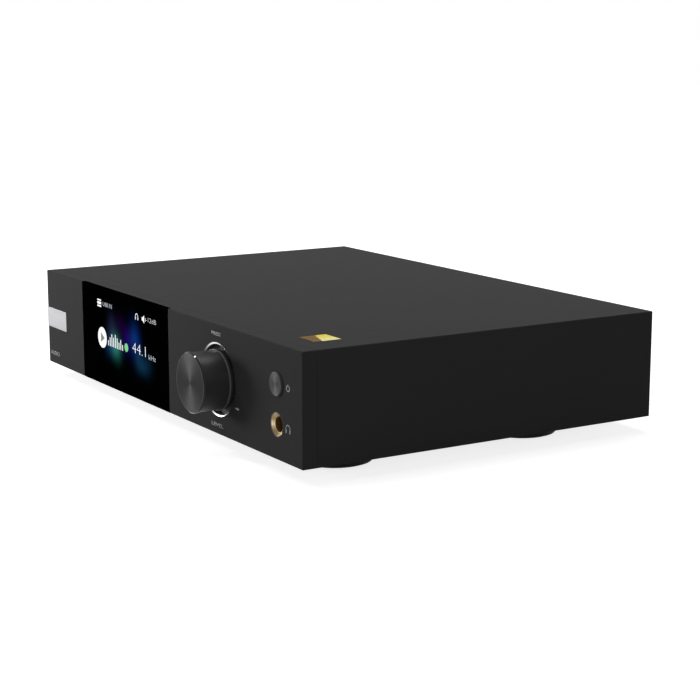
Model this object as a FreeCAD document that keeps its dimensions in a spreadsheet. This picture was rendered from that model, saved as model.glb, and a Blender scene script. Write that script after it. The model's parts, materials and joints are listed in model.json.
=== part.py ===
import FreeCAD
import Part
import Sketcher
import os
import re
from FreeCAD import Placement, Rotation, Vector

# A desktop music player: a slim aluminium case with a glass display, a push and turn knob,
# a power button and a headphone socket in front, and sockets for every lead at the back.
# Millimetres. X runs to the right of someone facing the front, Y to the back, Z up.
# The origin lies on the surface that the feet stand on, under the middle of the outer box.

SIZES = {
    # case
    "body_wide": 270, "body_high": 49.6, "body_deep": 187, "edge_break": 0.3, "corner_round": 0.5,
    "panel_thick": 6.8, "tongue_thick": 1.8, "seam_gap": 0.1, "wall_thick": 2.5, "floor_thick": 1.5,
    "fit_gap": 0.1, "rail_wide": 6, "rail_high": 5, "rear_inset": 1, "rear_thick": 2,
    "tab_high": 9, "tab_inset": 11, "left_tab_wide": 25, "tab_gap": 10.3, "tab_reach": 37.4,
    "tab_end": 12, "lip_high": 5, "lip_margin": 12.4, "lip_end": 20, "lip_rise": 2.6, "row_end": 16,
    # display, badge and foil
    "glass_inset": 47, "glass_wide": 99.7, "glass_thick": 2, "window_rim": 3, "window_high": 40,
    "lcd_gap": 0.3, "lcd_thick": 3.6, "bracket_thick": 1, "bracket_ear": 9, "bracket_trim": 3,
    "bracket_gap": 0.4, "bracket_screw": 6, "badge_wide": 25, "badge_high": 10.3,
    "badge_thick": 1, "badge_sunk": 0.8,
    "foil_inset": 21.9, "foil_back": 21.5, "foil_wide": 12.7, "foil_deep": 12.9, "foil_thick": 0.15,
    # knob and rotary encoder
    "knob_inset": 74.4, "knob_radius": 13.7, "knob_reach": 13.6, "knob_waist": 0.35,
    "knob_bevel": 0.5, "front_lip": 1.3, "rear_lip": 0.9, "lip_back": 0.3, "knob_tail": 1.5,
    "knob_wall": 2.8, "hub_radius": 5.4, "hub_end": 1.6, "insert_radius": 4, "insert_long": 10,
    "insert_end": 1, "recess_radius": 15.95, "recess_rim": 0.7, "recess_bevel": 0.3, "recess_deep": 3,
    "encoder_wide": 12, "encoder_high": 13.4, "encoder_deep": 6.5, "pocket_gap": 0.3,
    "bushing_radius": 3.5, "bushing_long": 7, "nut_flats": 10, "nut_thick": 2, "shaft_radius": 3,
    "shaft_flat": 1.5, "shaft_shoulder": 1, "running_gap": 0.04, "bearing_wall": 3,
    "collar_radius": 3.7, "collar_thick": 0.75, "knob_travel": 0.5, "plunger_thick": 1.25,
    "plunger_spare": 0.3, "cavity_radius": 4,
    # power button
    "button_inset": 21.3, "button_rise": 7.7, "button_radius": 5.25, "button_reach": 0.8,
    "button_gap": 0.15, "button_shelf": 5, "button_rim": 0.9, "button_flange": 1.2,
    "rim_gap": 0.3, "stem_radius": 1.4, "button_travel": 0.5, "switch_wide": 6,
    "switch_deep": 3.8, "plunger_radius": 1.6, "plunger_long": 3.2, "well_spare": 0.2,
    # headphone socket
    "jack_inset": 21.4, "jack_drop": 9.7, "jack_radius": 5.3, "bore_radius": 3.25,
    "funnel_deep": 1.2, "funnel_lip": 0.1, "jack_rim": 1.5, "jack_flange": 1.2,
    "jack_thread": 14, "jack_block": 16, "jack_deep": 41, "jack_end": 2,
    # boards, posts and screws
    "board_thick": 1.6, "post_high": 6, "post_radius": 2.5, "post_inset": 5, "post_span": 54,
    "post_rise": 8, "main_post_back": 22, "screw_radius": 1.4, "thread_gap": 0.05,
    "hole_gap": 0.15, "drill_spare": 0.5, "head_radius": 2.6, "head_high": 1.8, "screw_bite": 4,
    "hex_flats": 2.2, "hex_deep": 1, "board_edge": 9, "front_board_wide": 86,
    "front_board_high": 38, "board_margin": 11, "board_split": 6, "main_board_front": 46,
    "power_board_wide": 58, "power_board_front": 60, "power_board_back": 32,
    "ribbon_inset": 22, "ribbon_wide": 20, "ribbon_thick": 0.4, "ribbon_drop": 6, "ribbon_run": 6,
    # parts on the boards
    "shield_wide": 64, "shield_deep": 46, "shield_high": 7, "can_radius": 4, "can_high": 14,
    "can_pitch": 12, "can_row": 14, "chip_high": 1.4, "chip_wide": 14, "small_chip": 10,
    "driver_wide": 12, "driver_deep": 8, "relay_wide": 10, "relay_deep": 20, "relay_high": 8,
    "relay_pitch": 14, "sink_wide": 40, "sink_deep": 26, "sink_base": 2.5, "fin_high": 20,
    "fin_thick": 1.2, "fin_pitch": 5, "bulk_radius": 9, "bulk_high": 24, "filter_wide": 18,
    "filter_deep": 14, "filter_high": 16, "output_radius": 5, "output_high": 10,
    "output_pitch": 14, "coil_wide": 20, "coil_deep": 30, "coil_high": 17, "core_wide": 26,
    "core_deep": 12, "core_high": 21,
    # spaces along the row of sockets at the back, from the mains inlet to the far column
    "inlet_inset": 23, "inlet_to_rocker": 28, "rocker_to_usb": 24, "usb_to_optical": 18,
    "optical_pitch": 13, "optical_to_coax": 17, "coax_pitch": 16, "coax_to_line": 20,
    "line_pitch": 18, "line_to_balanced": 24, "balanced_pitch": 32, "balanced_to_column": 21,
    "column_inset": 16,
    # sockets at the back
    "rear_reach": 8.6, "axis_rise": 9, "sleeve_radius": 4.15, "sleeve_wall": 0.65,
    "sleeve_flange": 6, "flange_thick": 1.4, "sleeve_root": 5, "core_sunk": 3, "pin_hole": 1.65,
    "block_wide": 11, "block_high": 15, "block_deep": 11,
    "optical_wide": 9.8, "optical_proud": 0.4, "plug_square": 6.4, "optical_deep": 9.4,
    "shutter_thick": 0.7, "shutter_back": 0.2, "shutter_pin": 0.4, "hinge_drop": 0.45,
    "pin_reach": 0.5, "pin_gap": 0.05,
    "usb_wide": 12, "usb_high": 11, "usb_deep": 16, "usb_proud": 0.6, "usb_cavity": 9,
    "usb_side_wall": 1.6, "usb_top_wall": 1.4, "usb_bevel": 1.5, "tongue_wide": 5.6,
    "tongue_high": 3.2, "tongue_back": 1,
    "xlr_wide": 26, "xlr_high": 31, "xlr_plate": 1.6, "xlr_corner": 3, "xlr_break": 0.4,
    "xlr_barrel": 11.2, "xlr_cavity": 9.6, "xlr_deep": 14, "xlr_insert": 6, "xlr_screw_x": 9.5,
    "xlr_screw_z": 12, "contact_radius": 1.2, "contact_circle": 4.77, "contact_long": 12,
    "contact_tail": 3,
    "trigger_drop": 6.7, "trigger_bore": 1.8, "trigger_ring": 3.9, "trigger_proud": 2,
    "trigger_half": 4.5, "trigger_deep": 12, "trigger_end": 1,
    "aerial_rise": 12, "aerial_thread": 3.1, "aerial_reach": 8, "aerial_tail": 6,
    "aerial_flats": 8, "aerial_nut": 1.8, "aerial_washer": 1.5, "aerial_mouth": 1,
    "aerial_wall": 0.7, "aerial_core": 0.65, "aerial_deep": 6,
    "inlet_wide": 24.6, "inlet_high": 16.4, "inlet_deep": 17, "inlet_corner": 4,
    "inlet_rim_wide": 30.8, "inlet_rim_high": 23.4, "inlet_rim": 2.2, "inlet_step": 1.8,
    "inlet_round": 2.5, "inlet_break": 0.6, "inlet_floor": 2.5, "blade_wide": 2,
    "blade_high": 4, "blade_space": 7, "blade_step": 2, "blade_long": 13, "blade_tail": 8,
    "rocker_wide": 15, "rocker_high": 21, "rocker_rim": 1, "rocker_step": 1, "rocker_wall": 1.2,
    "rocker_deep": 15, "rocker_well": 11, "rocker_break": 0.5, "rocker_tilt": 12,
    "rocker_pivot": 3.5, "rocker_pin": 1, "rocker_gap": 0.15, "crest_proud": 0.2,
    "tip_proud": 1.8, "tip_inset": 3.4, "tip_drop": 3.9, "tip_slant": 0.4, "rocker_root": 2.4,
    "rocker_belly": 2,
    # feet
    "foot_high": 7, "foot_radius": 16.8, "foot_inset": 32.1, "foot_front": 34.8,
    "foot_back": 51.2, "foot_lift": 0.5, "foot_bevel": 0.4, "pad_high": 2.6, "pad_inner": 5,
    "pad_outer": 15, "head_clear": 0.4, "head_gap": 0.2,
}

doc = FreeCAD.newDocument("music_player")
sheet = doc.addObject("Spreadsheet::Sheet", "dims")
for row, (name, number) in enumerate(SIZES.items(), 1):
    sheet.set(f"A{row}", name)
    sheet.set(f"B{row}", str(number))
    sheet.setAlias(f"B{row}", name)
doc.recompute()

# Places that many sub-parts share, as expressions of the sizes. Along Y they count from the face
# of the front panel, or from the back of the cover on the sub-parts whose origin lies there.
# Along Z they count from the middle of the case.
FACE = "((knob_reach-rear_reach-body_deep)/2)"
BACK = "((knob_reach-rear_reach+body_deep)/2)"
MIDDLE = "(foot_high+body_high/2)"
UNDERSIDE = "(-body_high/2)"
FLOOR_TOP = "(floor_thick-body_high/2)"
COVER_UNDER = "(body_high/2-wall_thick)"
INNER_SIDE = "(body_wide/2-wall_thick-fit_gap)"
RAIL_X = "(body_wide/2-wall_thick-rail_wide/2)"
PANEL_BACK = "(panel_thick+tongue_thick)"
COVER_FRONT = "(panel_thick+seam_gap)"
REAR_INNER = "(body_deep-rear_inset-rear_thick)"
SKIN = "(-rear_inset)"
SKIN_BACK = "(-rear_inset-rear_thick)"
GLASS_LEFT = "(glass_inset-body_wide/2)"
GLASS_RIGHT = "(glass_inset-body_wide/2+glass_wide)"
KNOB_X = "(body_wide/2-knob_inset)"
BUTTON_X = "(body_wide/2-button_inset)"
JACK_X = "(body_wide/2-jack_inset)"
FRONT_LEFT = "(body_wide/2-board_edge-front_board_wide)"
FRONT_RIGHT = "(body_wide/2-board_edge)"
BOARD_FACE = "(panel_thick+encoder_deep)"
BOARD_LOW = "(floor_thick-body_high/2+post_high)"
BOARD_TOP = "(floor_thick-body_high/2+post_high+board_thick)"
SOCKET_Z = "(floor_thick-body_high/2+post_high+board_thick+axis_rise)"
POWER_LEFT = "(board_margin-body_wide/2)"
POWER_RIGHT = "(board_margin-body_wide/2+power_board_wide)"
POWER_BACK = f"({REAR_INNER}-power_board_back)"
MAIN_LEFT = f"({POWER_RIGHT}+board_split)"
MAIN_RIGHT = "(body_wide/2-board_margin)"
MAIN_BACK = f"({REAR_INNER}-3*fit_gap)"

ROOT_THREE = 1.7320508
TOUCH = 1e-4
PLANES = {"X": "YZ_Plane", "Y": "XZ_Plane", "Z": "XY_Plane"}
parts = []


# ---- tools -----------------------------------------------------------------------------------
def bound(text):
    """An expression in which each size's name leads to its cell in the sheet."""
    return re.sub(r"[a-z]\w+", lambda word: "dims." + word.group(), text)


def value(text):
    return float(sheet.evalExpression(bound(text)))


def new_body(name, across="0", along=FACE, up=MIDDLE, tilt=None):
    """A sub-part with its own origin, which may lie tilted about the X axis."""
    body = doc.addObject("PartDesign::Body", name)
    body.Label = name
    body.AllowCompound = True
    if tilt:
        body.Placement = Placement(Vector(), Rotation(Vector(1, 0, 0), value(tilt)))
        body.setExpression("Placement.Rotation.Angle", bound(tilt))
    for axis, place in zip("xyz", (across, along, up)):
        body.setExpression("Placement.Base." + axis, bound(place))
    parts.append(body)
    return body


def bind(sketch, kind, expression, *where):
    number = sketch.addConstraint(Sketcher.Constraint(kind, *where, value(expression)))
    sketch.setExpression(f"Constraints[{number}]", bound(expression))


def outline(*points):
    """A closed outline with straight sides, each corner bound to its two places."""

    def draw(sketch):
        first = sketch.GeometryCount
        corners = [Vector(value(across), value(up), 0) for across, up in points]
        for start, end in zip(corners, corners[1:] + corners[:1]):
            sketch.addGeometry(Part.LineSegment(start, end), False)
        for n, (across, up) in enumerate(points):
            follower = first + (n + 1) % len(points)
            sketch.addConstraint(Sketcher.Constraint("Coincident", first + n, 2, follower, 1))
            bind(sketch, "DistanceX", across, -1, 1, first + n, 1)
            bind(sketch, "DistanceY", up, -1, 1, first + n, 1)

    return draw


def rect(left, low, right, high):
    return outline((left, low), (right, low), (right, high), (left, high))


def block(across, up, wide, high):
    """A rectangle about a centre."""
    return rect(f"{across}-({wide})/2", f"{up}-({high})/2", f"{across}+({wide})/2", f"{up}+({high})/2")


def disc(across, up, radius):
    def draw(sketch):
        circle = Part.Circle(Vector(value(across), value(up), 0), Vector(0, 0, 1), value(radius))
        n = sketch.addGeometry(circle, False)
        bind(sketch, "DistanceX", across, -1, 1, n, 3)
        bind(sketch, "DistanceY", up, -1, 1, n, 3)
        bind(sketch, "Radius", radius, n)

    return draw


def discs(places, radius):
    return [disc(across, up, radius) for across, up in places]


def hexagon(across, up, flats):
    side = f"({flats})/2"
    corner = f"({flats})/{ROOT_THREE}"
    half = f"({flats})/2/{ROOT_THREE}"
    return outline(
        (f"{across}+{corner}", up), (f"{across}+{half}", f"{up}+{side}"),
        (f"{across}-{half}", f"{up}+{side}"), (f"{across}-{corner}", up),
        (f"{across}-{half}", f"{up}-{side}"), (f"{across}+{half}", f"{up}-{side}"),
    )


def bevelled(side, high, corner):
    """A socket's mouth about a centre: a rectangle whose two upper corners are cut off."""
    return outline(
        ("-" + side, "-" + high), (side, "-" + high), (side, f"{high}-{corner}"),
        (f"{side}-{corner}", high), (f"{corner}-{side}", high), ("-" + side, f"{high}-{corner}"),
    )


def flatted(radius, gap):
    """A round section with one flat, standing off the shaft's own section by a gap."""

    def draw(sketch):
        reach, level = value(radius), value("shaft_flat+" + gap)
        half = (reach**2 - level**2) ** 0.5
        left, right = Vector(-half, level, 0), Vector(half, level, 0)
        arc = sketch.addGeometry(Part.Arc(left, Vector(0, -reach, 0), right), False)
        flat = sketch.addGeometry(Part.LineSegment(right, left), False)
        start = 1 if sketch.getPoint(arc, 1).distanceToPoint(left) < reach / 10 else 2
        sketch.addConstraint(Sketcher.Constraint("Coincident", arc, 3 - start, flat, 1))
        sketch.addConstraint(Sketcher.Constraint("Coincident", arc, start, flat, 2))
        sketch.addConstraint(Sketcher.Constraint("Coincident", arc, 3, -1, 1))
        sketch.addConstraint(Sketcher.Constraint("Horizontal", flat))
        bind(sketch, "Radius", radius, arc)
        bind(sketch, "DistanceY", "shaft_flat+" + gap, -1, 1, flat, 1)

    return draw


def new_sketch(body, axis, level, shapes):
    """A sketch across an axis of the body's own origin, at a level along that axis."""
    sketch = body.newObject("Sketcher::SketchObject", body.Name + "_sketch")
    plane = next(o for o in body.Origin.OriginFeatures if o.Role == PLANES[axis])
    sketch.AttachmentSupport = [(plane, "")]
    sketch.MapMode = "FlatFace"
    sketch.setExpression("AttachmentOffset.Base.z", bound(("-" if axis == "Y" else "") + f"({level})"))
    for shape in shapes:
        shape(sketch)
    return sketch


def volume(body):
    return 0.0 if body.Shape.isNull() else body.Shape.Volume


def settle(body, feature, before, adds):
    """Rebuilds the document and makes sure that the feature added or removed material."""
    doc.recompute()
    gained = body.Shape.Volume - before
    if "Invalid" in feature.State or "Error" in feature.State or (gained > 0) != adds or gained == 0:
        raise RuntimeError(f"{feature.Name} changed the volume by {gained}")


def pad(body, axis, low, high, *shapes, taper=0):
    before = volume(body)
    sketch = new_sketch(body, axis, high if axis == "Y" else low, shapes)
    feature = body.newObject("PartDesign::Pad", body.Name + "_pad")
    feature.Profile = sketch
    feature.TaperAngle = taper
    feature.setExpression("Length", bound(f"({high})-({low})"))
    settle(body, feature, before, True)


def cut(body, axis, low, high, *shapes, taper=0):
    before = volume(body)
    sketch = new_sketch(body, axis, low if axis == "Y" else high, shapes)
    feature = body.newObject("PartDesign::Pocket", body.Name + "_pocket")
    feature.Profile = sketch
    feature.TaperAngle = taper
    feature.setExpression("Length", bound(f"({high})-({low})"))
    settle(body, feature, before, False)


def turn(body, axis, points, across="0", adds=True):
    """Revolves an outline of (radius, place along the axis) about the Y or the Z axis."""
    before = volume(body)
    sketch = new_sketch(body, "Z" if axis == "Y" else "Y", "0", [outline(*points)])
    sketch.setExpression("AttachmentOffset.Base.x", bound(across))
    kind = "PartDesign::Revolution" if adds else "PartDesign::Groove"
    feature = body.newObject(kind, body.Name + "_turned")
    feature.Profile = sketch
    feature.ReferenceAxis = (sketch, ["V_Axis"])
    feature.Angle = 360
    settle(body, feature, before, adds)


def dress(body, kind, size, keep):
    """Rounds or bevels the edges of the body that a rule picks by their bounding box."""
    base = body.Tip
    names = [f"Edge{n}" for n, edge in enumerate(base.Shape.Edges, 1) if keep(edge.BoundBox)]
    feature = body.newObject("PartDesign::" + kind, body.Name + "_" + kind.lower())
    feature.Base = (base, names)
    feature.setExpression("Radius" if kind == "Fillet" else "Size", bound(size))
    settle(body, feature, base.Shape.Volume, False)


def on(level, low, high):
    """Whether an edge's extent along one axis lies on a level."""
    return abs(low - level) < TOUCH and abs(high - level) < TOUCH


def runs_along_y(box):
    return box.YLength > 0.9 * box.DiagonalLength


def long_corner(box):
    """Whether an edge runs from front to back at the outermost face of either side."""
    side = value("body_wide/2")
    return runs_along_y(box) and on(side, abs(box.XMin), abs(box.XMax))


def bevel_rim(body, level, size):
    """Bevels every edge of a body that lies at one level along Y."""
    rim = value(level)
    dress(body, "Chamfer", size, lambda box: on(rim, box.YMin, box.YMax))


def mirrored(*places):
    """Each place and its mirror image across the middle plane."""
    return [(sign + "(" + across + ")", up) for across, up in places for sign in ("", "-")]


def share(low, high, part):
    """The place at a part of the way from low to high."""
    return f"({low}+({high}-{low})*{part})"


def clearance_holes(places):
    return discs(places, "screw_radius+hole_gap")


def tapped_holes(places):
    return discs(places, "screw_radius+thread_gap")


def pan_screws(body, axis, seat, through, places, out="+"):
    """Pan head screws on a seat; out is the way along the axis that their heads point."""
    back = "-" if out == "+" else "+"
    top = f"({seat}{out}head_high)"
    tip = f"({seat}{back}({through}+screw_bite))"
    socket = f"({top}{back}hex_deep)"
    for tool, near, far, shapes in (
        (pad, seat, top, discs(places, "head_radius")),
        (pad, tip, seat, discs(places, "screw_radius")),
        (cut, socket, top, [hexagon(across, up, "hex_flats") for across, up in places]),
    ):
        low, high = (near, far) if out == "+" else (far, near)
        tool(body, axis, low, high, *shapes)


# ---- front panel -----------------------------------------------------------------------------
LEFT_TAB = "(tab_inset-body_wide/2)", "(tab_inset+left_tab_wide-body_wide/2)"
RIGHT_TAB = f"({GLASS_RIGHT}+tab_gap)", f"({KNOB_X}+tab_reach)"
TAB_SCREW_X = [f"{share(*LEFT_TAB, 0.5)}", f"{RIGHT_TAB[0]}+tab_end", f"{RIGHT_TAB[1]}-tab_end"]
TAB_SCREWS = [(x, f"{FLOOR_TOP}+tab_high/2") for x in TAB_SCREW_X]
EAR_X = [f"{GLASS_LEFT}+window_rim-bracket_ear/2", f"{GLASS_RIGHT}-window_rim+bracket_ear/2"]
EAR_Z = ["bracket_screw-window_high/2", "window_high/2-bracket_screw"]
EAR_SCREWS = [(x, z) for x in EAR_X for z in EAR_Z]
FRONT_POSTS = [
    (f"{FRONT_LEFT}+{x}", z)
    for x in ("post_inset", "post_span")
    for z in ("post_rise-front_board_high/2", "front_board_high/2-post_inset")
]


def front_panel():
    """A machined plate with a tongue behind it, the display's channel and the knob's recess."""
    body = new_body("front_panel")
    pad(body, "Y", "0", "panel_thick", block("0", "0", "body_wide", "body_high"))
    dress(body, "Fillet", "corner_round", long_corner)
    bevel_rim(body, "0", "edge_break")
    tongue = rect("-" + INNER_SIDE, f"{FLOOR_TOP}+fit_gap", INNER_SIDE, f"{COVER_UNDER}-fit_gap")
    pad(body, "Y", "panel_thick", PANEL_BACK, tongue)
    channel = rect(f"{GLASS_LEFT}-fit_gap", "-body_high", f"{GLASS_RIGHT}+fit_gap", "body_high")
    cut(body, "Y", "0", "glass_thick", channel)
    window_left, window_right = f"{GLASS_LEFT}+window_rim", f"{GLASS_RIGHT}-window_rim"
    window = rect(window_left, "-window_high/2", window_right, "window_high/2")
    cut(body, "Y", "glass_thick", PANEL_BACK, window)
    badge_end, badge_edge = "badge_wide+fit_gap-body_wide/2", "badge_high/2+fit_gap"
    cut(body, "Y", "0", "badge_sunk", rect("-body_wide", f"-({badge_edge})", badge_end, badge_edge))
    knob_recess(body)
    cut(body, "Y", "0", "button_shelf", disc(BUTTON_X, "button_rise", "button_radius+button_gap"))
    counterbore = disc(BUTTON_X, "button_rise", "button_radius+button_rim+rim_gap")
    cut(body, "Y", "button_shelf", PANEL_BACK, counterbore)
    cut(body, "Y", "0", PANEL_BACK, disc(JACK_X, "-jack_drop", "jack_radius+fit_gap/2"))
    drilled = tapped_holes(TAB_SCREWS + EAR_SCREWS + FRONT_POSTS)
    cut(body, "Y", f"{PANEL_BACK}-screw_bite-drill_spare", PANEL_BACK, *drilled)


def knob_recess(body):
    """The turned recess round the knob, its bright bevel, and the encoder's seat behind it."""
    rim = "(recess_radius+recess_rim)"
    recess = [
        ("0", "-recess_bevel"), (f"{rim}+recess_rim", "-recess_bevel"), (rim, "0"),
        ("recess_radius", "recess_bevel"), ("recess_radius", "recess_deep"), ("0", "recess_deep"),
    ]
    turn(body, "Y", recess, across=KNOB_X, adds=False)
    cut(body, "Y", "recess_deep", "panel_thick", disc(KNOB_X, "0", "bushing_radius+fit_gap"))
    seat = block(KNOB_X, "0", "encoder_wide+2*pocket_gap", "encoder_high+2*pocket_gap")
    cut(body, "Y", "panel_thick", PANEL_BACK, seat)


# ---- display, badge and foil -----------------------------------------------------------------
def display():
    glass = new_body("display_glass")
    pad(glass, "Y", "0", "glass_thick", rect(GLASS_LEFT, "-body_high/2", GLASS_RIGHT, "body_high/2"))
    bevel_rim(glass, "0", "edge_break/2")
    module = new_body("lcd_module")
    left, right = f"({GLASS_LEFT}+window_rim)", f"({GLASS_RIGHT}-window_rim)"
    face = rect(f"{left}+lcd_gap", "lcd_gap-window_high/2", f"{right}-lcd_gap", "window_high/2-lcd_gap")
    pad(module, "Y", "glass_thick", "glass_thick+lcd_thick", face)
    bracket = new_body("lcd_bracket")
    dish, rim = "(glass_thick+lcd_thick)", PANEL_BACK
    inner_left, inner_right = f"({left}+bracket_gap)", f"({right}-bracket_gap)"
    hat = outline(
        (f"{left}-bracket_ear", rim), (inner_left, rim), (inner_left, dish), (inner_right, dish),
        (inner_right, rim), (f"{right}+bracket_ear", rim),
        (f"{right}+bracket_ear", f"{rim}+bracket_thick"),
        (f"{inner_right}-bracket_thick", f"{rim}+bracket_thick"),
        (f"{inner_right}-bracket_thick", f"{dish}+bracket_thick"),
        (f"{inner_left}+bracket_thick", f"{dish}+bracket_thick"),
        (f"{inner_left}+bracket_thick", f"{rim}+bracket_thick"),
        (f"{left}-bracket_ear", f"{rim}+bracket_thick"),
    )
    pad(bracket, "Z", "bracket_trim-window_high/2", "window_high/2-bracket_trim", hat)
    cut(bracket, "Y", rim, f"{rim}+bracket_thick", *clearance_holes(EAR_SCREWS))


def badge_and_foil():
    badge = new_body("badge_plate")
    plate = block("(badge_wide-body_wide)/2", "0", "badge_wide", "badge_high")
    pad(badge, "Y", "badge_sunk-badge_thick", "badge_sunk", plate)
    foil = new_body("gold_foil", "body_wide/2-foil_inset", f"{FACE}+foil_back", "foot_high+body_high")
    pad(foil, "Z", "0", "foil_thick", block("0", "0", "foil_wide", "foil_deep"))


# ---- knob and rotary encoder -----------------------------------------------------------------
HUB_END = "(-hub_end)"
HUB_BOTTOM = "(-hub_end-insert_long)"
NOSE = "(panel_thick-bushing_long)"
BEARING_END = "(panel_thick+bearing_wall)"
COLLAR = f"({BEARING_END}+running_gap)"
PLUNGER = f"({BEARING_END}+2*running_gap+collar_thick)"


def knob():
    """A hollow turned cap with a lip at each end, on a flatted shaft by way of a brass insert."""
    body = new_body("knob", KNOB_X)
    lip, waist = "knob_radius", "(knob_radius-knob_waist)"
    hollow, floor = "(knob_radius-knob_wall)", "(knob_wall-knob_reach)"
    pocket = "insert_radius+running_gap/2"
    profile = [
        ("0", "-knob_reach"), (f"{lip}-knob_bevel", "-knob_reach"), (lip, "knob_bevel-knob_reach"),
        (lip, "front_lip-knob_reach"), (waist, "front_lip-knob_reach"),
        (waist, "-lip_back-rear_lip"), (lip, "-lip_back-rear_lip"), (lip, "-lip_back"),
        (waist, "-lip_back"), (waist, "knob_tail"), (hollow, "knob_tail"), (hollow, floor),
        ("hub_radius", floor), ("hub_radius", HUB_END), (pocket, HUB_END), (pocket, HUB_BOTTOM),
        ("0", HUB_BOTTOM),
    ]
    turn(body, "Y", profile)
    insert = new_body("knob_insert", KNOB_X)
    pad(insert, "Y", HUB_BOTTOM, HUB_END, disc("0", "0", "insert_radius"))
    bore = flatted("shaft_radius+running_gap/2", "running_gap")
    cut(insert, "Y", f"{HUB_BOTTOM}+insert_end", HUB_END, bore)
    shaft = new_body("encoder_shaft", KNOB_X)
    shoulder = f"{NOSE}-shaft_shoulder"
    pad(shaft, "Y", f"{HUB_BOTTOM}+insert_end+running_gap", shoulder, flatted("shaft_radius", "0"))
    pad(shaft, "Y", shoulder, COLLAR, disc("0", "0", "shaft_radius"))
    pad(shaft, "Y", COLLAR, f"{COLLAR}+collar_thick", disc("0", "0", "collar_radius"))


def encoder():
    """The encoder's case and threaded bushing, the plunger that the shaft pushes, and its nut."""
    body = new_body("encoder_body", KNOB_X)
    pad(body, "Y", "panel_thick", BOARD_FACE, block("0", "0", "encoder_wide", "encoder_high"))
    pad(body, "Y", NOSE, "panel_thick", disc("0", "0", "bushing_radius"))
    cut(body, "Y", NOSE, BEARING_END, disc("0", "0", "shaft_radius+running_gap"))
    depth = f"{PLUNGER}+plunger_thick+knob_travel+plunger_spare"
    cut(body, "Y", BEARING_END, depth, disc("0", "0", "cavity_radius"))
    plunger = new_body("encoder_plunger", KNOB_X)
    pad(plunger, "Y", PLUNGER, f"{PLUNGER}+plunger_thick", disc("0", "0", "collar_radius"))
    nut = new_body("encoder_nut", KNOB_X)
    pad(nut, "Y", "recess_deep-nut_thick", "recess_deep", hexagon("0", "0", "nut_flats"))
    cut(nut, "Y", "recess_deep-nut_thick", "recess_deep", disc("0", "0", "bushing_radius+running_gap"))


# ---- power button ----------------------------------------------------------------------------
def power_button():
    """A turned key held by its flange behind the panel, on the plunger of a switch."""
    body = new_body("power_button", BUTTON_X, up=f"{MIDDLE}+button_rise")
    rim, shelf = "(button_radius+button_rim)", "(button_shelf+running_gap)"
    switch_front = f"({BOARD_FACE}-switch_deep)"
    stem_end = f"({switch_front}-button_travel)"
    profile = [
        ("0", "-button_reach"), ("button_radius-edge_break", "-button_reach"),
        ("button_radius", "edge_break-button_reach"), ("button_radius", shelf), (rim, shelf),
        (rim, f"{shelf}+button_flange"), ("stem_radius", f"{shelf}+button_flange"),
        ("stem_radius", stem_end), ("0", stem_end),
    ]
    turn(body, "Y", profile)
    plunger = new_body("switch_plunger", BUTTON_X, up=f"{MIDDLE}+button_rise")
    plunger_end = f"{stem_end}+plunger_long"
    pad(plunger, "Y", stem_end, plunger_end, disc("0", "0", "plunger_radius"))
    switch = new_body("power_switch", BUTTON_X, up=f"{MIDDLE}+button_rise")
    pad(switch, "Y", switch_front, BOARD_FACE, block("0", "0", "switch_wide", "switch_wide"))
    well = f"{plunger_end}+button_travel+well_spare"
    cut(switch, "Y", switch_front, well, disc("0", "0", "plunger_radius+fit_gap"))


# ---- headphone socket ------------------------------------------------------------------------
def headphone_socket():
    """A gilt bushing with a funnel mouth, screwed through the panel into the socket's body."""
    bushing = new_body("headphone_bushing", JACK_X, up=f"{MIDDLE}-jack_drop")
    flange = "(jack_radius+jack_rim)"
    start = f"({PANEL_BACK}+jack_flange)"
    profile = [
        ("bore_radius", "jack_thread"), ("bore_radius", "funnel_deep"),
        ("jack_radius-funnel_lip", "0"), ("jack_radius", "0"), ("jack_radius", PANEL_BACK),
        (flange, PANEL_BACK), (flange, start), ("jack_radius", start), ("jack_radius", "jack_thread"),
    ]
    turn(bushing, "Y", profile)
    socket = new_body("headphone_body", JACK_X, up=f"{MIDDLE}-jack_drop")
    pad(socket, "Y", start, "jack_deep", block("0", "0", "jack_block", "jack_block"))
    cut(socket, "Y", start, "jack_thread", disc("0", "0", "jack_radius+running_gap/2"))
    cut(socket, "Y", "jack_thread", "jack_deep-jack_end", disc("0", "0", "bore_radius"))


# ---- boards, posts and their screws ----------------------------------------------------------
def corner_posts(left, right, front, back):
    return [(x, y) for x in (f"{left}+post_inset", f"{right}-post_inset") for y in (front, back)]


MAIN_ROWS = "main_board_front+post_inset", f"{MAIN_BACK}-main_post_back"
POWER_ROWS = "power_board_front+post_inset", f"{POWER_BACK}-post_inset"
MAIN_POSTS = corner_posts(MAIN_LEFT, MAIN_RIGHT, *MAIN_ROWS)
POWER_POSTS = corner_posts(POWER_LEFT, POWER_RIGHT, *POWER_ROWS)
FLOOR_POSTS = MAIN_POSTS + POWER_POSTS


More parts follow.
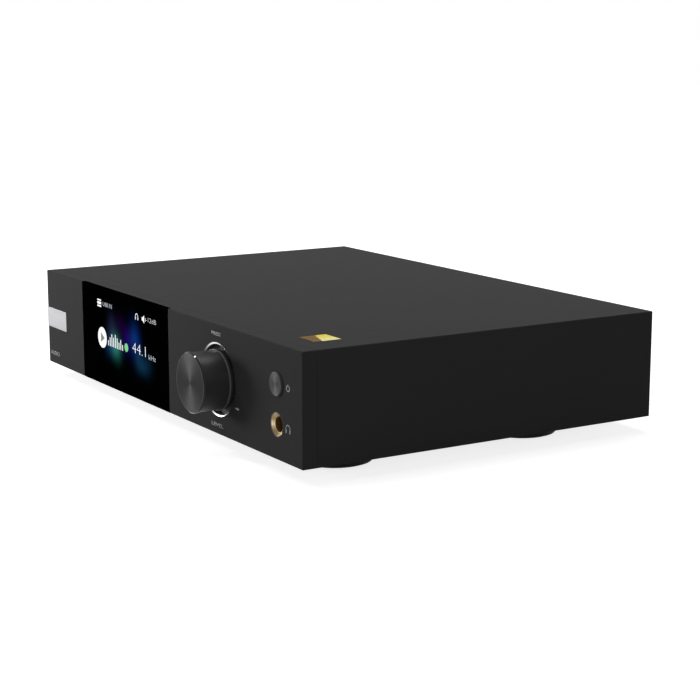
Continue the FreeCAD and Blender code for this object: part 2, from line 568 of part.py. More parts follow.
def boards():
    front = new_body("front_board")
    edge = rect(FRONT_LEFT, "-front_board_high/2", FRONT_RIGHT, "front_board_high/2")
    back = f"{BOARD_FACE}+board_thick"
    pad(front, "Y", BOARD_FACE, back, edge)
    space = "(jack_block/2+pocket_gap)"
    notch = rect(f"{JACK_X}-{space}", "-body_high", "body_wide", f"{space}-jack_drop")
    cut(front, "Y", BOARD_FACE, back, notch)
    cut(front, "Y", BOARD_FACE, back, *clearance_holes(FRONT_POSTS))
    main = new_body("main_board")
    pad(main, "Z", BOARD_LOW, BOARD_TOP, rect(MAIN_LEFT, "main_board_front", MAIN_RIGHT, MAIN_BACK))
    cut(main, "Z", BOARD_LOW, BOARD_TOP, *clearance_holes(MAIN_POSTS))
    power = new_body("power_board")
    pad(power, "Z", BOARD_LOW, BOARD_TOP, rect(POWER_LEFT, "power_board_front", POWER_RIGHT, POWER_BACK))
    cut(power, "Z", BOARD_LOW, BOARD_TOP, *clearance_holes(POWER_POSTS))


def posts_and_screws():
    """Round posts, studded into the panel or standing on the floor, and the screws of the boards."""
    posts = new_body("board_posts")
    pad(posts, "Y", PANEL_BACK, BOARD_FACE, *discs(FRONT_POSTS, "post_radius"))
    pad(posts, "Y", f"{PANEL_BACK}-screw_bite", PANEL_BACK, *discs(FRONT_POSTS, "screw_radius"))
    cut(posts, "Y", f"{BOARD_FACE}-screw_bite-drill_spare", BOARD_FACE, *tapped_holes(FRONT_POSTS))
    pad(posts, "Z", FLOOR_TOP, BOARD_LOW, *discs(FLOOR_POSTS, "post_radius"))
    cut(posts, "Z", f"{BOARD_LOW}-screw_bite-drill_spare", BOARD_LOW, *tapped_holes(FLOOR_POSTS))
    screws = new_body("board_screws")
    pan_screws(screws, "Y", f"({BOARD_FACE}+board_thick)", "board_thick", FRONT_POSTS)
    pan_screws(screws, "Z", BOARD_TOP, "board_thick", FLOOR_POSTS)
    fixings = new_body("panel_screws")
    pan_screws(fixings, "Y", f"({PANEL_BACK}+floor_thick)", "floor_thick", TAB_SCREWS)
    pan_screws(fixings, "Y", f"({PANEL_BACK}+bracket_thick)", "bracket_thick", EAR_SCREWS)


# ---- parts on the boards ---------------------------------------------------------------------
# The middle of each group of parts, as shares of its board's width and depth.
MAIN_PLACES = {
    "shield": (0.663, 0.479), "cans": (0.239, 0.196), "chip": (0.37, 0.421),
    "small_chip": (0.196, 0.421), "driver": (0.489, 0.174), "relays": (0.125, 0.683),
    "sink": (0.826, 0.16),
}
POWER_PLACES = {
    "bulk": (0.724, 0.217), "filter": (0.241, 0.174), "outputs": (0.759, 0.75), "core": (0.31, 0.674),
}
CAN_COLUMNS, CAN_ROWS, RELAYS, FINS, OUTPUTS = 4, 2, 2, 8, 2


def on_main(name):
    across, along = MAIN_PLACES[name]
    return share(MAIN_LEFT, MAIN_RIGHT, across), share("main_board_front", MAIN_BACK, along)


def on_power(name):
    across, along = POWER_PLACES[name]
    return share(POWER_LEFT, POWER_RIGHT, across), share("power_board_front", POWER_BACK, along)


def spread(middle, pitch, count):
    """Places at equal steps, symmetric about a middle."""
    return [f"{middle}+{pitch}*{n - (count - 1) / 2}" for n in range(count)]


def stand(body, high, *shapes):
    pad(body, "Z", BOARD_TOP, f"{BOARD_TOP}+{high}", *shapes)


def board_parts():
    shield = new_body("audio_shield")
    stand(shield, "shield_high", block(*on_main("shield"), "shield_wide", "shield_deep"))
    lid = value(f"{BOARD_TOP}+shield_high")
    dress(shield, "Fillet", "2*corner_round", lambda box: on(lid, box.ZMin, box.ZMax))
    cans = new_body("filter_capacitors")
    across, along = on_main("cans")
    rows = spread(along, "can_row", CAN_ROWS)
    grid = [(x, y) for x in spread(across, "can_pitch", CAN_COLUMNS) for y in rows]
    stand(cans, "can_high", *discs(grid, "can_radius"))
    chips = new_body("board_chips")
    flat = [("chip", "chip_wide", "chip_wide"), ("small_chip", "small_chip", "small_chip")]
    flat.append(("driver", "driver_wide", "driver_deep"))
    stand(chips, "chip_high", *[block(*on_main(name), wide, deep) for name, wide, deep in flat])
    across, along = on_main("relays")
    pair = [block(x, along, "relay_wide", "relay_deep") for x in spread(across, "relay_pitch", RELAYS)]
    stand(chips, "relay_high", *pair)
    sink = new_body("heat_sink")
    across, along = on_main("sink")
    stand(sink, "sink_base", block(across, along, "sink_wide", "sink_deep"))
    fins = [block(x, along, "fin_thick", "sink_deep") for x in spread(across, "fin_pitch", FINS)]
    stand(sink, "fin_high", *fins)
    supply = new_body("supply_parts")
    stand(supply, "bulk_high", disc(*on_power("bulk"), "bulk_radius"))
    stand(supply, "filter_high", block(*on_power("filter"), "filter_wide", "filter_deep"))
    across, along = on_power("outputs")
    outputs = [(across, y) for y in spread(along, "output_pitch", OUTPUTS)]
    stand(supply, "output_high", *discs(outputs, "output_radius"))
    core = new_body("transformer")
    stand(core, "core_high", block(*on_power("core"), "core_wide", "core_deep"))
    stand(core, "coil_high", block(*on_power("core"), "coil_wide", "coil_deep"))


def ribbon():
    """The flat cable between the two boards, folded once onto each."""
    body = new_body("ribbon_cable")
    start, thick = f"({BOARD_FACE}+board_thick)", "ribbon_thick"
    foot, land = "main_board_front", f"{BOARD_TOP}+{thick}"
    profile = outline(
        (start, "-ribbon_drop"), (f"{start}+ribbon_run", "-ribbon_drop"),
        (f"{foot}+2.5*{thick}", land), (f"{foot}+ribbon_run", land), (f"{foot}+ribbon_run", BOARD_TOP),
        (f"{foot}+2*{thick}", BOARD_TOP), (f"{start}+ribbon_run-{thick}/2", f"-ribbon_drop-{thick}"),
        (start, f"-ribbon_drop-{thick}"),
    )
    pad(body, "X", f"{FRONT_LEFT}+ribbon_inset", f"{FRONT_LEFT}+ribbon_inset+ribbon_wide", profile)


# ---- sockets along the back ------------------------------------------------------------------
INLET_X = "(inlet_inset-body_wide/2)"
COLUMN_X = "(body_wide/2-column_inset)"
SPACES = [
    "inlet_to_rocker", "rocker_to_usb", "usb_to_optical", "optical_pitch", "optical_to_coax",
    "coax_pitch", "coax_to_line", "line_pitch", "line_to_balanced", "balanced_pitch",
    "balanced_to_column",
]


def row_place(count):
    """The place after so many spaces of the row, which fills the width between its two ends."""
    run, whole = "+".join(SPACES[:count]), "+".join(SPACES)
    return f"({INLET_X}+({COLUMN_X}-{INLET_X})*({run})/({whole}))"


ROCKER_X, USB_X = row_place(1), row_place(2)
OPTICAL = [row_place(4), row_place(3)]
SLEEVES = {
    "line_out_left": row_place(8), "line_out_right": row_place(7),
    "coaxial_in_1": row_place(6), "coaxial_in_2": row_place(5),
}
BALANCED = {"balanced_out_left": row_place(9), "balanced_out_right": row_place(10)}
FLANGE_HOLES = [("-xlr_screw_x", "xlr_screw_z"), ("xlr_screw_x", "-xlr_screw_z")]
BALANCED_SCREWS = [(f"{x}+({across})", up) for x in BALANCED.values() for across, up in FLANGE_HOLES]
INLET_BODY_WIDE, INLET_BODY_HIGH = "inlet_rim_wide-2*inlet_step", "inlet_rim_high-2*inlet_step"
ROCKER_BODY_WIDE, ROCKER_BODY_HIGH = "rocker_wide-2*rocker_step", "rocker_high-2*rocker_step"


# ---- case ------------------------------------------------------------------------------------
LIP_SIDE = f"({INNER_SIDE}-lip_margin)"
LIP_SCREWS = [(x, f"{FLOOR_TOP}+lip_rise") for x in (f"lip_end-{LIP_SIDE}", "0", f"{LIP_SIDE}-lip_end")]
REAR_TOP = mirrored((RAIL_X, f"{COVER_UNDER}-head_radius-2*fit_gap"))
ROW_START, ROW_END, ROW_SPACES = f"({COVER_FRONT}+row_end)", f"({REAR_INNER}-row_end)", 3
ROW = [share(ROW_START, ROW_END, n / ROW_SPACES) for n in range(ROW_SPACES + 1)]
FLOOR_SCREWS = mirrored(*[(RAIL_X, y) for y in ROW])
FOOT_X = "body_wide/2-foot_inset"
FEET = mirrored((FOOT_X, "foot_front"), (FOOT_X, "body_deep-foot_back"))


def base_tray():
    """The floor, with tabs bent up behind the front panel and a lip along the rear panel."""
    body = new_body("base_tray")
    floor = rect("-" + INNER_SIDE, COVER_FRONT, INNER_SIDE, "body_deep")
    pad(body, "Z", UNDERSIDE, FLOOR_TOP, floor)
    tab_top = f"{FLOOR_TOP}+tab_high"
    tabs = [rect(left, FLOOR_TOP, right, tab_top) for left, right in (LEFT_TAB, RIGHT_TAB)]
    pad(body, "Y", PANEL_BACK, f"{PANEL_BACK}+floor_thick", *tabs)
    lip = rect("-" + LIP_SIDE, FLOOR_TOP, LIP_SIDE, f"{FLOOR_TOP}+lip_high")
    pad(body, "Y", f"{REAR_INNER}-floor_thick", REAR_INNER, lip)
    cut(body, "Y", PANEL_BACK, f"{PANEL_BACK}+floor_thick", *clearance_holes(TAB_SCREWS))
    cut(body, "Y", f"{REAR_INNER}-floor_thick", REAR_INNER, *tapped_holes(LIP_SCREWS))
    cut(body, "Z", UNDERSIDE, FLOOR_TOP, *clearance_holes(FLOOR_SCREWS + FEET))
    sunk = f"({UNDERSIDE}+head_radius-screw_radius)"
    cut(body, "Z", UNDERSIDE, sunk, *clearance_holes(FLOOR_SCREWS), taper=45)


def top_cover():
    """A sheet bent over the top and both sides, with rails for the floor and the rear panel."""
    body = new_body("top_cover")
    side, inner, top = "(body_wide/2)", "(body_wide/2-wall_thick)", "(body_high/2)"
    shell = outline(
        ("-" + side, UNDERSIDE), ("-" + side, top), (side, top), (side, UNDERSIDE),
        (inner, UNDERSIDE), (inner, COVER_UNDER), ("-" + inner, COVER_UNDER), ("-" + inner, UNDERSIDE),
    )
    pad(body, "Y", COVER_FRONT, "body_deep", shell)
    dress(body, "Fillet", "corner_round", long_corner)
    far, high, back = value(side), value(top), value("body_deep")

    def rear_edge(box):
        flank = box.ZLength > box.XLength and on(far, abs(box.XMin), abs(box.XMax))
        return on(back, box.YMin, box.YMax) and (flank or on(high, box.ZMin, box.ZMax))

    dress(body, "Chamfer", "edge_break", rear_edge)
    step = f"({inner}-rail_wide)"
    rails = []
    for bottom in (FLOOR_TOP, f"({COVER_UNDER}-rail_high)"):
        rails.append(rect(step, bottom, inner, f"{bottom}+rail_high"))
        rails.append(rect("-" + inner, bottom, "-" + step, f"{bottom}+rail_high"))
    pad(body, "Y", f"{PANEL_BACK}+fit_gap", REAR_INNER, *rails)
    cut(body, "Z", FLOOR_TOP, f"{FLOOR_TOP}+screw_bite+drill_spare", *tapped_holes(FLOOR_SCREWS))
    cut(body, "Y", f"{REAR_INNER}-screw_bite-drill_spare", REAR_INNER, *tapped_holes(REAR_TOP))


def case_screws():
    """The countersunk screws under the floor, and the pan head screws of the feet and the rear."""
    floor = new_body("base_screws")
    cone = f"({UNDERSIDE}+head_radius-screw_radius)"
    pad(floor, "Z", UNDERSIDE, cone, *discs(FLOOR_SCREWS, "head_radius"), taper=-45)
    pad(floor, "Z", cone, f"({FLOOR_TOP}+screw_bite)", *discs(FLOOR_SCREWS, "screw_radius"))
    hexes = [hexagon(x, y, "hex_flats") for x, y in FLOOR_SCREWS]
    cut(floor, "Z", UNDERSIDE, f"{UNDERSIDE}+hex_deep", *hexes)
    web = "(foot_high-pad_high-head_high-head_clear)"
    pan_screws(floor, "Z", f"({UNDERSIDE}-{web})", web, FEET, out="-")
    rear = new_body("rear_screws")
    pan_screws(rear, "Y", "(body_deep-rear_inset)", "rear_thick", LIP_SCREWS + REAR_TOP)
    pan_screws(rear, "Y", "(body_deep-rear_inset+xlr_plate)", "(xlr_plate+rear_thick)", BALANCED_SCREWS)


def rear_panel():
    """A flat plate between the rails, cut out for every socket."""
    body = new_body("rear_panel", along=BACK)
    plate = rect("-" + INNER_SIDE, FLOOR_TOP, INNER_SIDE, f"{COVER_UNDER}-fit_gap")
    pad(body, "Y", SKIN_BACK, SKIN, plate)
    gap = "+2*fit_gap"
    openings = [disc(x, SOCKET_Z, "sleeve_radius+fit_gap") for x in SLEEVES.values()]
    openings += [block(x, SOCKET_Z, "optical_wide" + gap, "optical_wide" + gap) for x in OPTICAL]
    openings += [disc(x, "0", "xlr_barrel+fit_gap") for x in BALANCED.values()]
    openings += [
        block(USB_X, SOCKET_Z, "usb_wide" + gap, "usb_high" + gap),
        disc(COLUMN_X, "-trigger_drop", "trigger_ring+fit_gap"),
        disc(COLUMN_X, "aerial_rise", "aerial_thread+fit_gap"),
        block(INLET_X, "0", INLET_BODY_WIDE + gap, INLET_BODY_HIGH + gap),
        block(ROCKER_X, "0", ROCKER_BODY_WIDE + gap, ROCKER_BODY_HIGH + gap),
    ]
    openings += clearance_holes(LIP_SCREWS + REAR_TOP + BALANCED_SCREWS)
    cut(body, "Y", SKIN_BACK, SKIN, *openings)


# ---- sockets at the back ---------------------------------------------------------------------
def line_sockets():
    """Four gilt sleeves, each with the plastic body that carries it on the main board."""
    inside = "(sleeve_radius-sleeve_wall)"
    root, flange = f"({SKIN_BACK}-sleeve_root)", f"({SKIN}+flange_thick)"
    profile = [
        (inside, root), ("sleeve_radius", root), ("sleeve_radius", SKIN), ("sleeve_flange", SKIN),
        ("sleeve_flange", flange), ("sleeve_radius", flange),
        ("sleeve_radius", "rear_reach-edge_break"), ("sleeve_radius-edge_break", "rear_reach"),
        (inside, "rear_reach"),
    ]
    for name, x in SLEEVES.items():
        turn(new_body(name, x, BACK, f"{MIDDLE}+{SOCKET_Z}"), "Y", profile)
    carriers = new_body("socket_carriers", along=BACK, up=f"{MIDDLE}+{SOCKET_Z}")
    axes = [(x, "0") for x in SLEEVES.values()]
    low, high = "-axis_rise", "block_high-axis_rise"
    blocks = [rect(f"{x}-block_wide/2", low, f"{x}+block_wide/2", high) for x, _ in axes]
    pad(carriers, "Y", f"{SKIN_BACK}-block_deep", SKIN_BACK, *blocks)
    cut(carriers, "Y", root, SKIN_BACK, *discs(axes, "sleeve_radius+running_gap/2"))
    mouth = "rear_reach-core_sunk"
    pad(carriers, "Y", root, mouth, *discs(axes, f"{inside}-running_gap/2"))
    cut(carriers, "Y", f"{SKIN_BACK}-core_sunk", mouth, *discs(axes, "pin_hole"))


def optical_sockets():
    """Square light sockets, each closed by a shutter that swings in and up on its own pins."""
    hinge = "(plug_square/2-hinge_drop)"
    mouth = "(optical_proud-rear_inset)"
    plate = f"({mouth}-shutter_back)"
    axle = f"{plate}-shutter_thick/2"
    for n, x in enumerate(OPTICAL, 1):
        body = new_body(f"optical_in_{n}", x, BACK, f"{MIDDLE}+{SOCKET_Z}")
        behind = rect("-optical_wide/2", "-axis_rise", "optical_wide/2", "optical_wide/2")
        pad(body, "Y", f"{SKIN_BACK}-block_deep", f"{SKIN_BACK}-fit_gap", behind)
        pad(body, "Y", f"{SKIN_BACK}-fit_gap", mouth, block("0", "0", "optical_wide", "optical_wide"))
        cut(body, "Y", f"{mouth}-optical_deep", mouth, block("0", "0", "plug_square", "plug_square"))
        ear = "(plug_square/2+pin_reach+fit_gap)"
        cut(body, "X", "-" + ear, ear, disc(axle, hinge, "shutter_pin+pin_gap"))
        shutter = new_body(f"optical_shutter_{n}", x, BACK, f"{MIDDLE}+{SOCKET_Z}")
        flap = rect("fit_gap-plug_square/2", "2*fit_gap-plug_square/2", "plug_square/2-fit_gap", hinge)
        pad(shutter, "Y", f"{plate}-shutter_thick", plate, flap)
        pin = "(plug_square/2+pin_reach)"
        pad(shutter, "X", "-" + pin, pin, disc(axle, hinge, "shutter_pin"))


def usb_socket():
    """A square socket with two bevelled corners and a tongue in the middle of its mouth."""
    body = new_body("usb_socket", USB_X, BACK, f"{MIDDLE}+{SOCKET_Z}")
    mouth, collar = "(usb_proud-rear_inset)", f"({SKIN_BACK}-fit_gap)"
    behind = rect("-usb_wide/2", "-axis_rise", "usb_wide/2", "usb_high/2")
    pad(body, "Y", f"{mouth}-usb_deep", collar, behind)
    pad(body, "Y", collar, mouth, block("0", "0", "usb_wide", "usb_high"))
    cavity = f"({mouth}-usb_cavity)"
    side, high = "(usb_wide/2-usb_side_wall)", "(usb_high/2-usb_top_wall)"
    cut(body, "Y", cavity, mouth, bevelled(side, high, "usb_bevel"))
    pad(body, "Y", cavity, f"{mouth}-tongue_back", block("0", "0", "tongue_wide", "tongue_high"))


def balanced_sockets():
    """Three-pole male sockets: a metal shell with a flange, a plastic insert and three pins."""
    face = f"({SKIN}+xlr_plate)"
    floor = f"({SKIN}-xlr_deep)"
    rear = f"({floor}-xlr_insert)"
    upper = f"contact_circle/2*{ROOT_THREE}"
    contacts = []
    for name, x in BALANCED.items():
        body = new_body(name, x, BACK)
        pad(body, "Y", SKIN, face, block("0", "0", "xlr_wide", "xlr_high"))
        dress(body, "Fillet", "xlr_corner", runs_along_y)
        bevel_rim(body, face, "xlr_break")
        pad(body, "Y", rear, SKIN, disc("0", "0", "xlr_barrel"))
        cut(body, "Y", rear, face, disc("0", "0", "xlr_cavity"))
        cut(body, "Y", SKIN, face, *clearance_holes(FLANGE_HOLES))
        contacts += [(f"{x}-{upper}", "contact_circle/2"), (f"{x}+{upper}", "contact_circle/2")]
        contacts.append((x, "-contact_circle"))
    axes = [(x, "0") for x in BALANCED.values()]
    inserts = new_body("balanced_inserts", along=BACK)
    pad(inserts, "Y", rear, floor, *discs(axes, "xlr_cavity-running_gap/2"))
    cut(inserts, "Y", rear, floor, *discs(contacts, "contact_radius+running_gap/2"))
    pins = new_body("balanced_pins", along=BACK)
    pad(pins, "Y", f"{rear}-contact_tail", f"{floor}+contact_long", *discs(contacts, "contact_radius"))


def small_sockets():
    """The trigger socket and, above it, the threaded aerial socket with its two nuts."""
    trigger = new_body("trigger_socket", COLUMN_X, BACK, f"{MIDDLE}-trigger_drop")
    body = rect("-trigger_half", f"{BOARD_TOP}+trigger_drop", "trigger_half", "trigger_half")
    pad(trigger, "Y", f"{SKIN_BACK}-trigger_deep", SKIN_BACK, body)
    face = f"{SKIN}+trigger_proud"
    pad(trigger, "Y", SKIN_BACK, face, disc("0", "0", "trigger_ring"))
    cut(trigger, "Y", f"{SKIN_BACK}-trigger_deep+trigger_end", face, disc("0", "0", "trigger_bore"))
    aerial = new_body("aerial_socket", COLUMN_X, BACK, f"{MIDDLE}+aerial_rise")
    pad(aerial, "Y", f"{SKIN_BACK}-aerial_washer", SKIN_BACK, hexagon("0", "0", "aerial_flats"))
    pad(aerial, "Y", SKIN, f"{SKIN}+aerial_nut", hexagon("0", "0", "aerial_flats"))
    pad(aerial, "Y", f"{SKIN_BACK}-aerial_tail", "aerial_reach", disc("0", "0", "aerial_thread"))
    mouth = disc("0", "0", "aerial_thread-aerial_wall")
    cut(aerial, "Y", "aerial_reach-aerial_mouth", "aerial_reach", mouth)
    cut(aerial, "Y", "aerial_reach-aerial_deep", "aerial_reach", disc("0", "0", "aerial_core"))


def mains_inlet():
    """A three-pole mains inlet: a rim on the panel, a deep mouth and three flat blades."""
    body = new_body("mains_inlet", INLET_X, BACK)
    face = f"({SKIN}+inlet_rim)"
    floor = f"({face}-inlet_deep)"
    pad(body, "Y", SKIN, face, block("0", "0", "inlet_rim_wide", "inlet_rim_high"))
    dress(body, "Fillet", "inlet_round", runs_along_y)
    bevel_rim(body, face, "inlet_break")
    pad(body, "Y", f"{floor}-inlet_floor", SKIN, block("0", "0", INLET_BODY_WIDE, INLET_BODY_HIGH))
    cut(body, "Y", floor, face, bevelled("(inlet_wide/2)", "(inlet_high/2)", "inlet_corner"))
    blades = [("-blade_space", "-blade_step"), ("0", "blade_step"), ("blade_space", "-blade_step")]
    slots = [block(x, z, "blade_wide+running_gap", "blade_high+running_gap") for x, z in blades]
    cut(body, "Y", f"{floor}-inlet_floor", floor, *slots)
    pins = new_body("inlet_blades", INLET_X, BACK)
    flats = [block(x, z, "blade_wide", "blade_high") for x, z in blades]
    pad(pins, "Y", f"{floor}-blade_tail", f"{floor}+blade_long", *flats)


def mains_switch():
    """A rocker in a snap-in housing; it rests tilted to one side and swings to the other."""
    housing = new_body("rocker_housing", ROCKER_X, BACK)
    face = f"({SKIN}+rocker_rim)"
    pad(housing, "Y", SKIN, face, block("0", "0", "rocker_wide", "rocker_high"))
    bevel_rim(housing, face, "rocker_break")
    pad(housing, "Y", f"{SKIN}-rocker_deep", SKIN, block("0", "0", ROCKER_BODY_WIDE, ROCKER_BODY_HIGH))
    well_wide, well_high = f"({ROCKER_BODY_WIDE}-2*rocker_wall)", f"({ROCKER_BODY_HIGH}-2*rocker_wall)"
    cut(housing, "Y", f"{SKIN}-rocker_well", face, block("0", "0", well_wide, well_high))
    ear = f"({well_wide}/2+pin_reach+fit_gap)"
    cut(housing, "X", "-" + ear, ear, disc("-rocker_pivot", "0", "rocker_pin+pin_gap"))
    rocker = new_body("mains_rocker", ROCKER_X, f"{BACK}-rocker_pivot", tilt="rocker_tilt")
    crest, tip = "(rocker_pivot+crest_proud)", "(rocker_pivot+tip_proud)"
    half, under = "(rocker_high/2-tip_inset)", "(rocker_pivot+tip_proud-tip_drop)"
    side = outline(
        (crest, "0"), (tip, half), (under, f"{half}-tip_slant"), ("-rocker_belly", "rocker_root"),
        ("-rocker_belly", "-rocker_root"), (under, f"tip_slant-{half}"), (tip, "-" + half),
    )
    pad(rocker, "X", f"rocker_gap-{well_wide}/2", f"{well_wide}/2-rocker_gap", side)
    pin = f"({well_wide}/2+pin_reach)"
    pad(rocker, "X", "-" + pin, pin, disc("0", "0", "rocker_pin"))


# ---- feet ------------------------------------------------------------------------------------
def feet():
    """Four turned feet, each with a ring of rubber let into its underside."""
    seat = "(pad_high+head_high+head_clear)"
    hole, well, groove = "screw_radius+fit_gap", "head_radius+head_gap", "pad_outer+fit_gap"
    profile = [
        (hole, "foot_high"), ("foot_radius-edge_break", "foot_high"),
        ("foot_radius", "foot_high-edge_break"), ("foot_radius", "foot_lift+foot_bevel"),
        ("foot_radius-foot_bevel", "foot_lift"), (groove, "foot_lift"), (groove, "pad_high"),
        (well, "pad_high"), (well, seat), (hole, seat),
    ]
    names = ["foot_front_right", "foot_front_left", "foot_rear_right", "foot_rear_left"]
    for name, (x, y) in zip(names, FEET):
        turn(new_body(name, x, f"{FACE}+{y}", "0"), "Z", profile)
    pads = new_body("foot_pads", up="0")
    pad(pads, "Z", "0", "pad_high", *discs(FEET, "pad_outer"))
    cut(pads, "Z", "0", "pad_high", *discs(FEET, "pad_inner"))


for build in (
    front_panel, display, badge_and_foil, knob, encoder, power_button, headphone_socket, boards,
    posts_and_screws, board_parts, ribbon, base_tray, top_cover, rear_panel, case_screws,
    line_sockets, optical_sockets, usb_socket, balanced_sockets, small_sockets, mains_inlet,
    mains_switch, feet,
):
    build()
doc.recompute()

for item in doc.Objects:
    if "Invalid" in item.State or "Error" in item.State:
        raise RuntimeError(f"{item.Name} failed")
for body in parts:
    if body.Shape.isNull() or not body.Shape.isValid() or not body.Shape.Solids:
        raise RuntimeError(f"{body.Label} has no valid shape")
os.makedirs("parts", exist_ok=True)
for body in parts:
    body.Shape.exportStep(f"parts/{body.Label}.step")
print(len(parts), "sub-parts")
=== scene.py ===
"""The looks of the desktop music player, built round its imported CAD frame. Metres, Z up."""

import json
import math

import bmesh
import bpy
from mathutils import Matrix, Vector


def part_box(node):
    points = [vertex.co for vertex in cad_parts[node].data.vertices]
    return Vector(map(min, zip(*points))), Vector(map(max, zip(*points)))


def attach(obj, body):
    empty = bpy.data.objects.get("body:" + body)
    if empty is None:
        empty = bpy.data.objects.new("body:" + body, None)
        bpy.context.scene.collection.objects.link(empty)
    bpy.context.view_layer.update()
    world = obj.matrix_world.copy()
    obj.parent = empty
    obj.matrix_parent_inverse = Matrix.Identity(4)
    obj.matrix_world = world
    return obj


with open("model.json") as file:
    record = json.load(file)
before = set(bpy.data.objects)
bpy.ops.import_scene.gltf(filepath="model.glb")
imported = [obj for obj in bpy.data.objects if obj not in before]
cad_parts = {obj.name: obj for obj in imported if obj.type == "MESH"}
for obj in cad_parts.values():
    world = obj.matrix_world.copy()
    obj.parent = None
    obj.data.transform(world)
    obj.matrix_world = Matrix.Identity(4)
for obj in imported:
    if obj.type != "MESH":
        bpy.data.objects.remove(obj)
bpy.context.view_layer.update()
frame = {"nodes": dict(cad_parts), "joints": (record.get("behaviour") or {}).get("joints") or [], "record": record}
nodes = frame["nodes"]
joints = {joint["name"]: joint for joint in frame["joints"]}
mounts = {mount["name"]: mount for mount in frame["record"]["mounts"]}

MM = 0.001
FACE_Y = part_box("front_panel")[0].y
REAR_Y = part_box("rear_panel")[1].y
MIDDLE_Z = (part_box("front_panel")[0].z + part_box("front_panel")[1].z) / 2
PANEL = Vector((0.0, FACE_Y, MIDDLE_Z))
KNOB = Vector(joints["knob_turn"]["pos_m"])
KNOB_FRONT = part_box("knob")[0].y
JACK = Vector(mounts["headphone_bore"]["pos_m"])
BUTTON = sum(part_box("power_button"), Vector()) / 2


# ---- materials -------------------------------------------------------------------------------
def add_node(tree, kind, values=None, **settings):
    """A node with its settings, and each of its sockets linked to another node or given a value."""
    node = tree.nodes.new(kind)
    for setting, choice in settings.items():
        setattr(node, setting, choice)
    for socket, source in (values or {}).items():
        if isinstance(source, bpy.types.NodeSocket):
            tree.links.new(source, node.inputs[socket])
        else:
            node.inputs[socket].default_value = source
    return node


def mix_colours(tree, level, first, second):
    """A colour that goes from first to second with the level."""
    values = {0: level, 6: first, 7: second}
    return add_node(tree, "ShaderNodeMix", values, data_type="RGBA").outputs[2]


def grey(level, blue=0.0):
    """A grey, or one with a share of blue added."""
    return (level, level, level * (1.0 + blue), 1.0)


def tinted(colour, factor=1.0):
    """A colour made darker or lighter by a factor, with its alpha."""
    return tuple(min(1.0, part * factor) for part in colour) + (1.0,)


class Look:
    """A Principled material whose colour, roughness and bump come from its own nodes.

    Each word argument is a constant on the shader's socket of that name.
    """

    def __init__(self, name, **sockets):
        self.material = bpy.data.materials.new(name)
        self.material.use_nodes = True
        self.tree = self.material.node_tree
        self.shader = self.tree.nodes["Principled BSDF"]
        for socket, value in sockets.items():
            self.shader.inputs[socket.replace("_", " ")].default_value = value
        self.place = self.add("ShaderNodeTexCoord").outputs["Object"]

    def add(self, kind, values=None, **settings):
        return add_node(self.tree, kind, values, **settings)

    def set(self, socket, source):
        self.tree.links.new(source, self.shader.inputs[socket])

    def bump(self, height, strength, distance):
        values = {"Height": height, "Strength": strength, "Distance": distance}
        self.set("Normal", self.add("ShaderNodeBump", values).outputs[0])

    def math(self, operation, *values, clamp=False):
        values = dict(enumerate(values))
        return self.add("ShaderNodeMath", values, operation=operation, use_clamp=clamp).outputs[0]

    def vector(self, operation, *values):
        values = dict(enumerate(values))
        return self.add("ShaderNodeVectorMath", values, operation=operation).outputs[0]

    def length(self, vector):
        return self.add("ShaderNodeVectorMath", {0: vector}, operation="LENGTH").outputs["Value"]

    def part(self, axis):
        """The place along one axis, in metres."""
        return self.add("ShaderNodeSeparateXYZ", {0: self.place}).outputs["XYZ".index(axis)]

    def away(self, centre):
        """The distance from the line through a centre that runs from front to back."""
        offset = self.vector("SUBTRACT", self.place, (centre.x, 0.0, centre.z))
        return self.length(self.vector("MULTIPLY", offset, (1.0, 0.0, 1.0)))

    def share(self, level, low, high):
        """0 where the level is low and 1 where it is high."""
        return self.math("DIVIDE", self.math("SUBTRACT", level, low), high - low)

    def step(self, level, edge, soft):
        """0 below the edge and 1 above it, with a soft change between."""
        values = {"Value": level, "From Min": edge - soft, "From Max": edge + soft}
        return self.add("ShaderNodeMapRange", values).outputs[0]

    def band(self, level, low, high, soft):
        """1 where the level lies between low and high, with soft edges."""
        rise, fall = self.step(level, low, soft), self.step(level, high, soft)
        return self.math("SUBTRACT", rise, fall, clamp=True)

    def noise(self, scale, detail=2.0, stretch=(1.0, 1.0, 1.0)):
        """Noise from 0 to 1; scale counts its waves in a metre."""
        place = self.add("ShaderNodeMapping", {"Vector": self.place, "Scale": stretch}).outputs[0]
        values = {"Vector": place, "Scale": scale, "Detail": detail}
        return self.add("ShaderNodeTexNoise", values).outputs["Fac"]

    def lines(self, level, scale, detail):
        """Noise that changes only with the level; scale counts its waves in a metre."""
        values = {"W": self.math("MULTIPLY", level, scale), "Scale": 1.0, "Detail": detail}
        return self.add("ShaderNodeTexNoise", values, noise_dimensions="1D").outputs["Fac"]

    def ramp(self, level, *stops):
        """A colour or grey for each level between 0 and 1."""
        node = self.add("ShaderNodeValToRGB", {"Fac": level})
        while len(node.color_ramp.elements) < len(stops):
            node.color_ramp.elements.new(0.5)
        for element, (where, colour) in zip(node.color_ramp.elements, stops):
            element.position = where
            element.color = colour if isinstance(colour, tuple) else grey(colour)
        return node.outputs[0]

    def uneven(self, noise, least, most, low=0.3, high=0.7):
        """From least to most between two levels of a noise, which seldom leaves them."""
        return self.ramp(noise, (low, least), (high, most))

    def mix(self, level, first, second):
        return mix_colours(self.tree, level, first, second)

    def blend(self, level, first, second):
        """A number that goes from first to second with the level."""
        values = {0: level, 2: first, 3: second}
        return self.add("ShaderNodeMix", values, data_type="FLOAT").outputs[0]


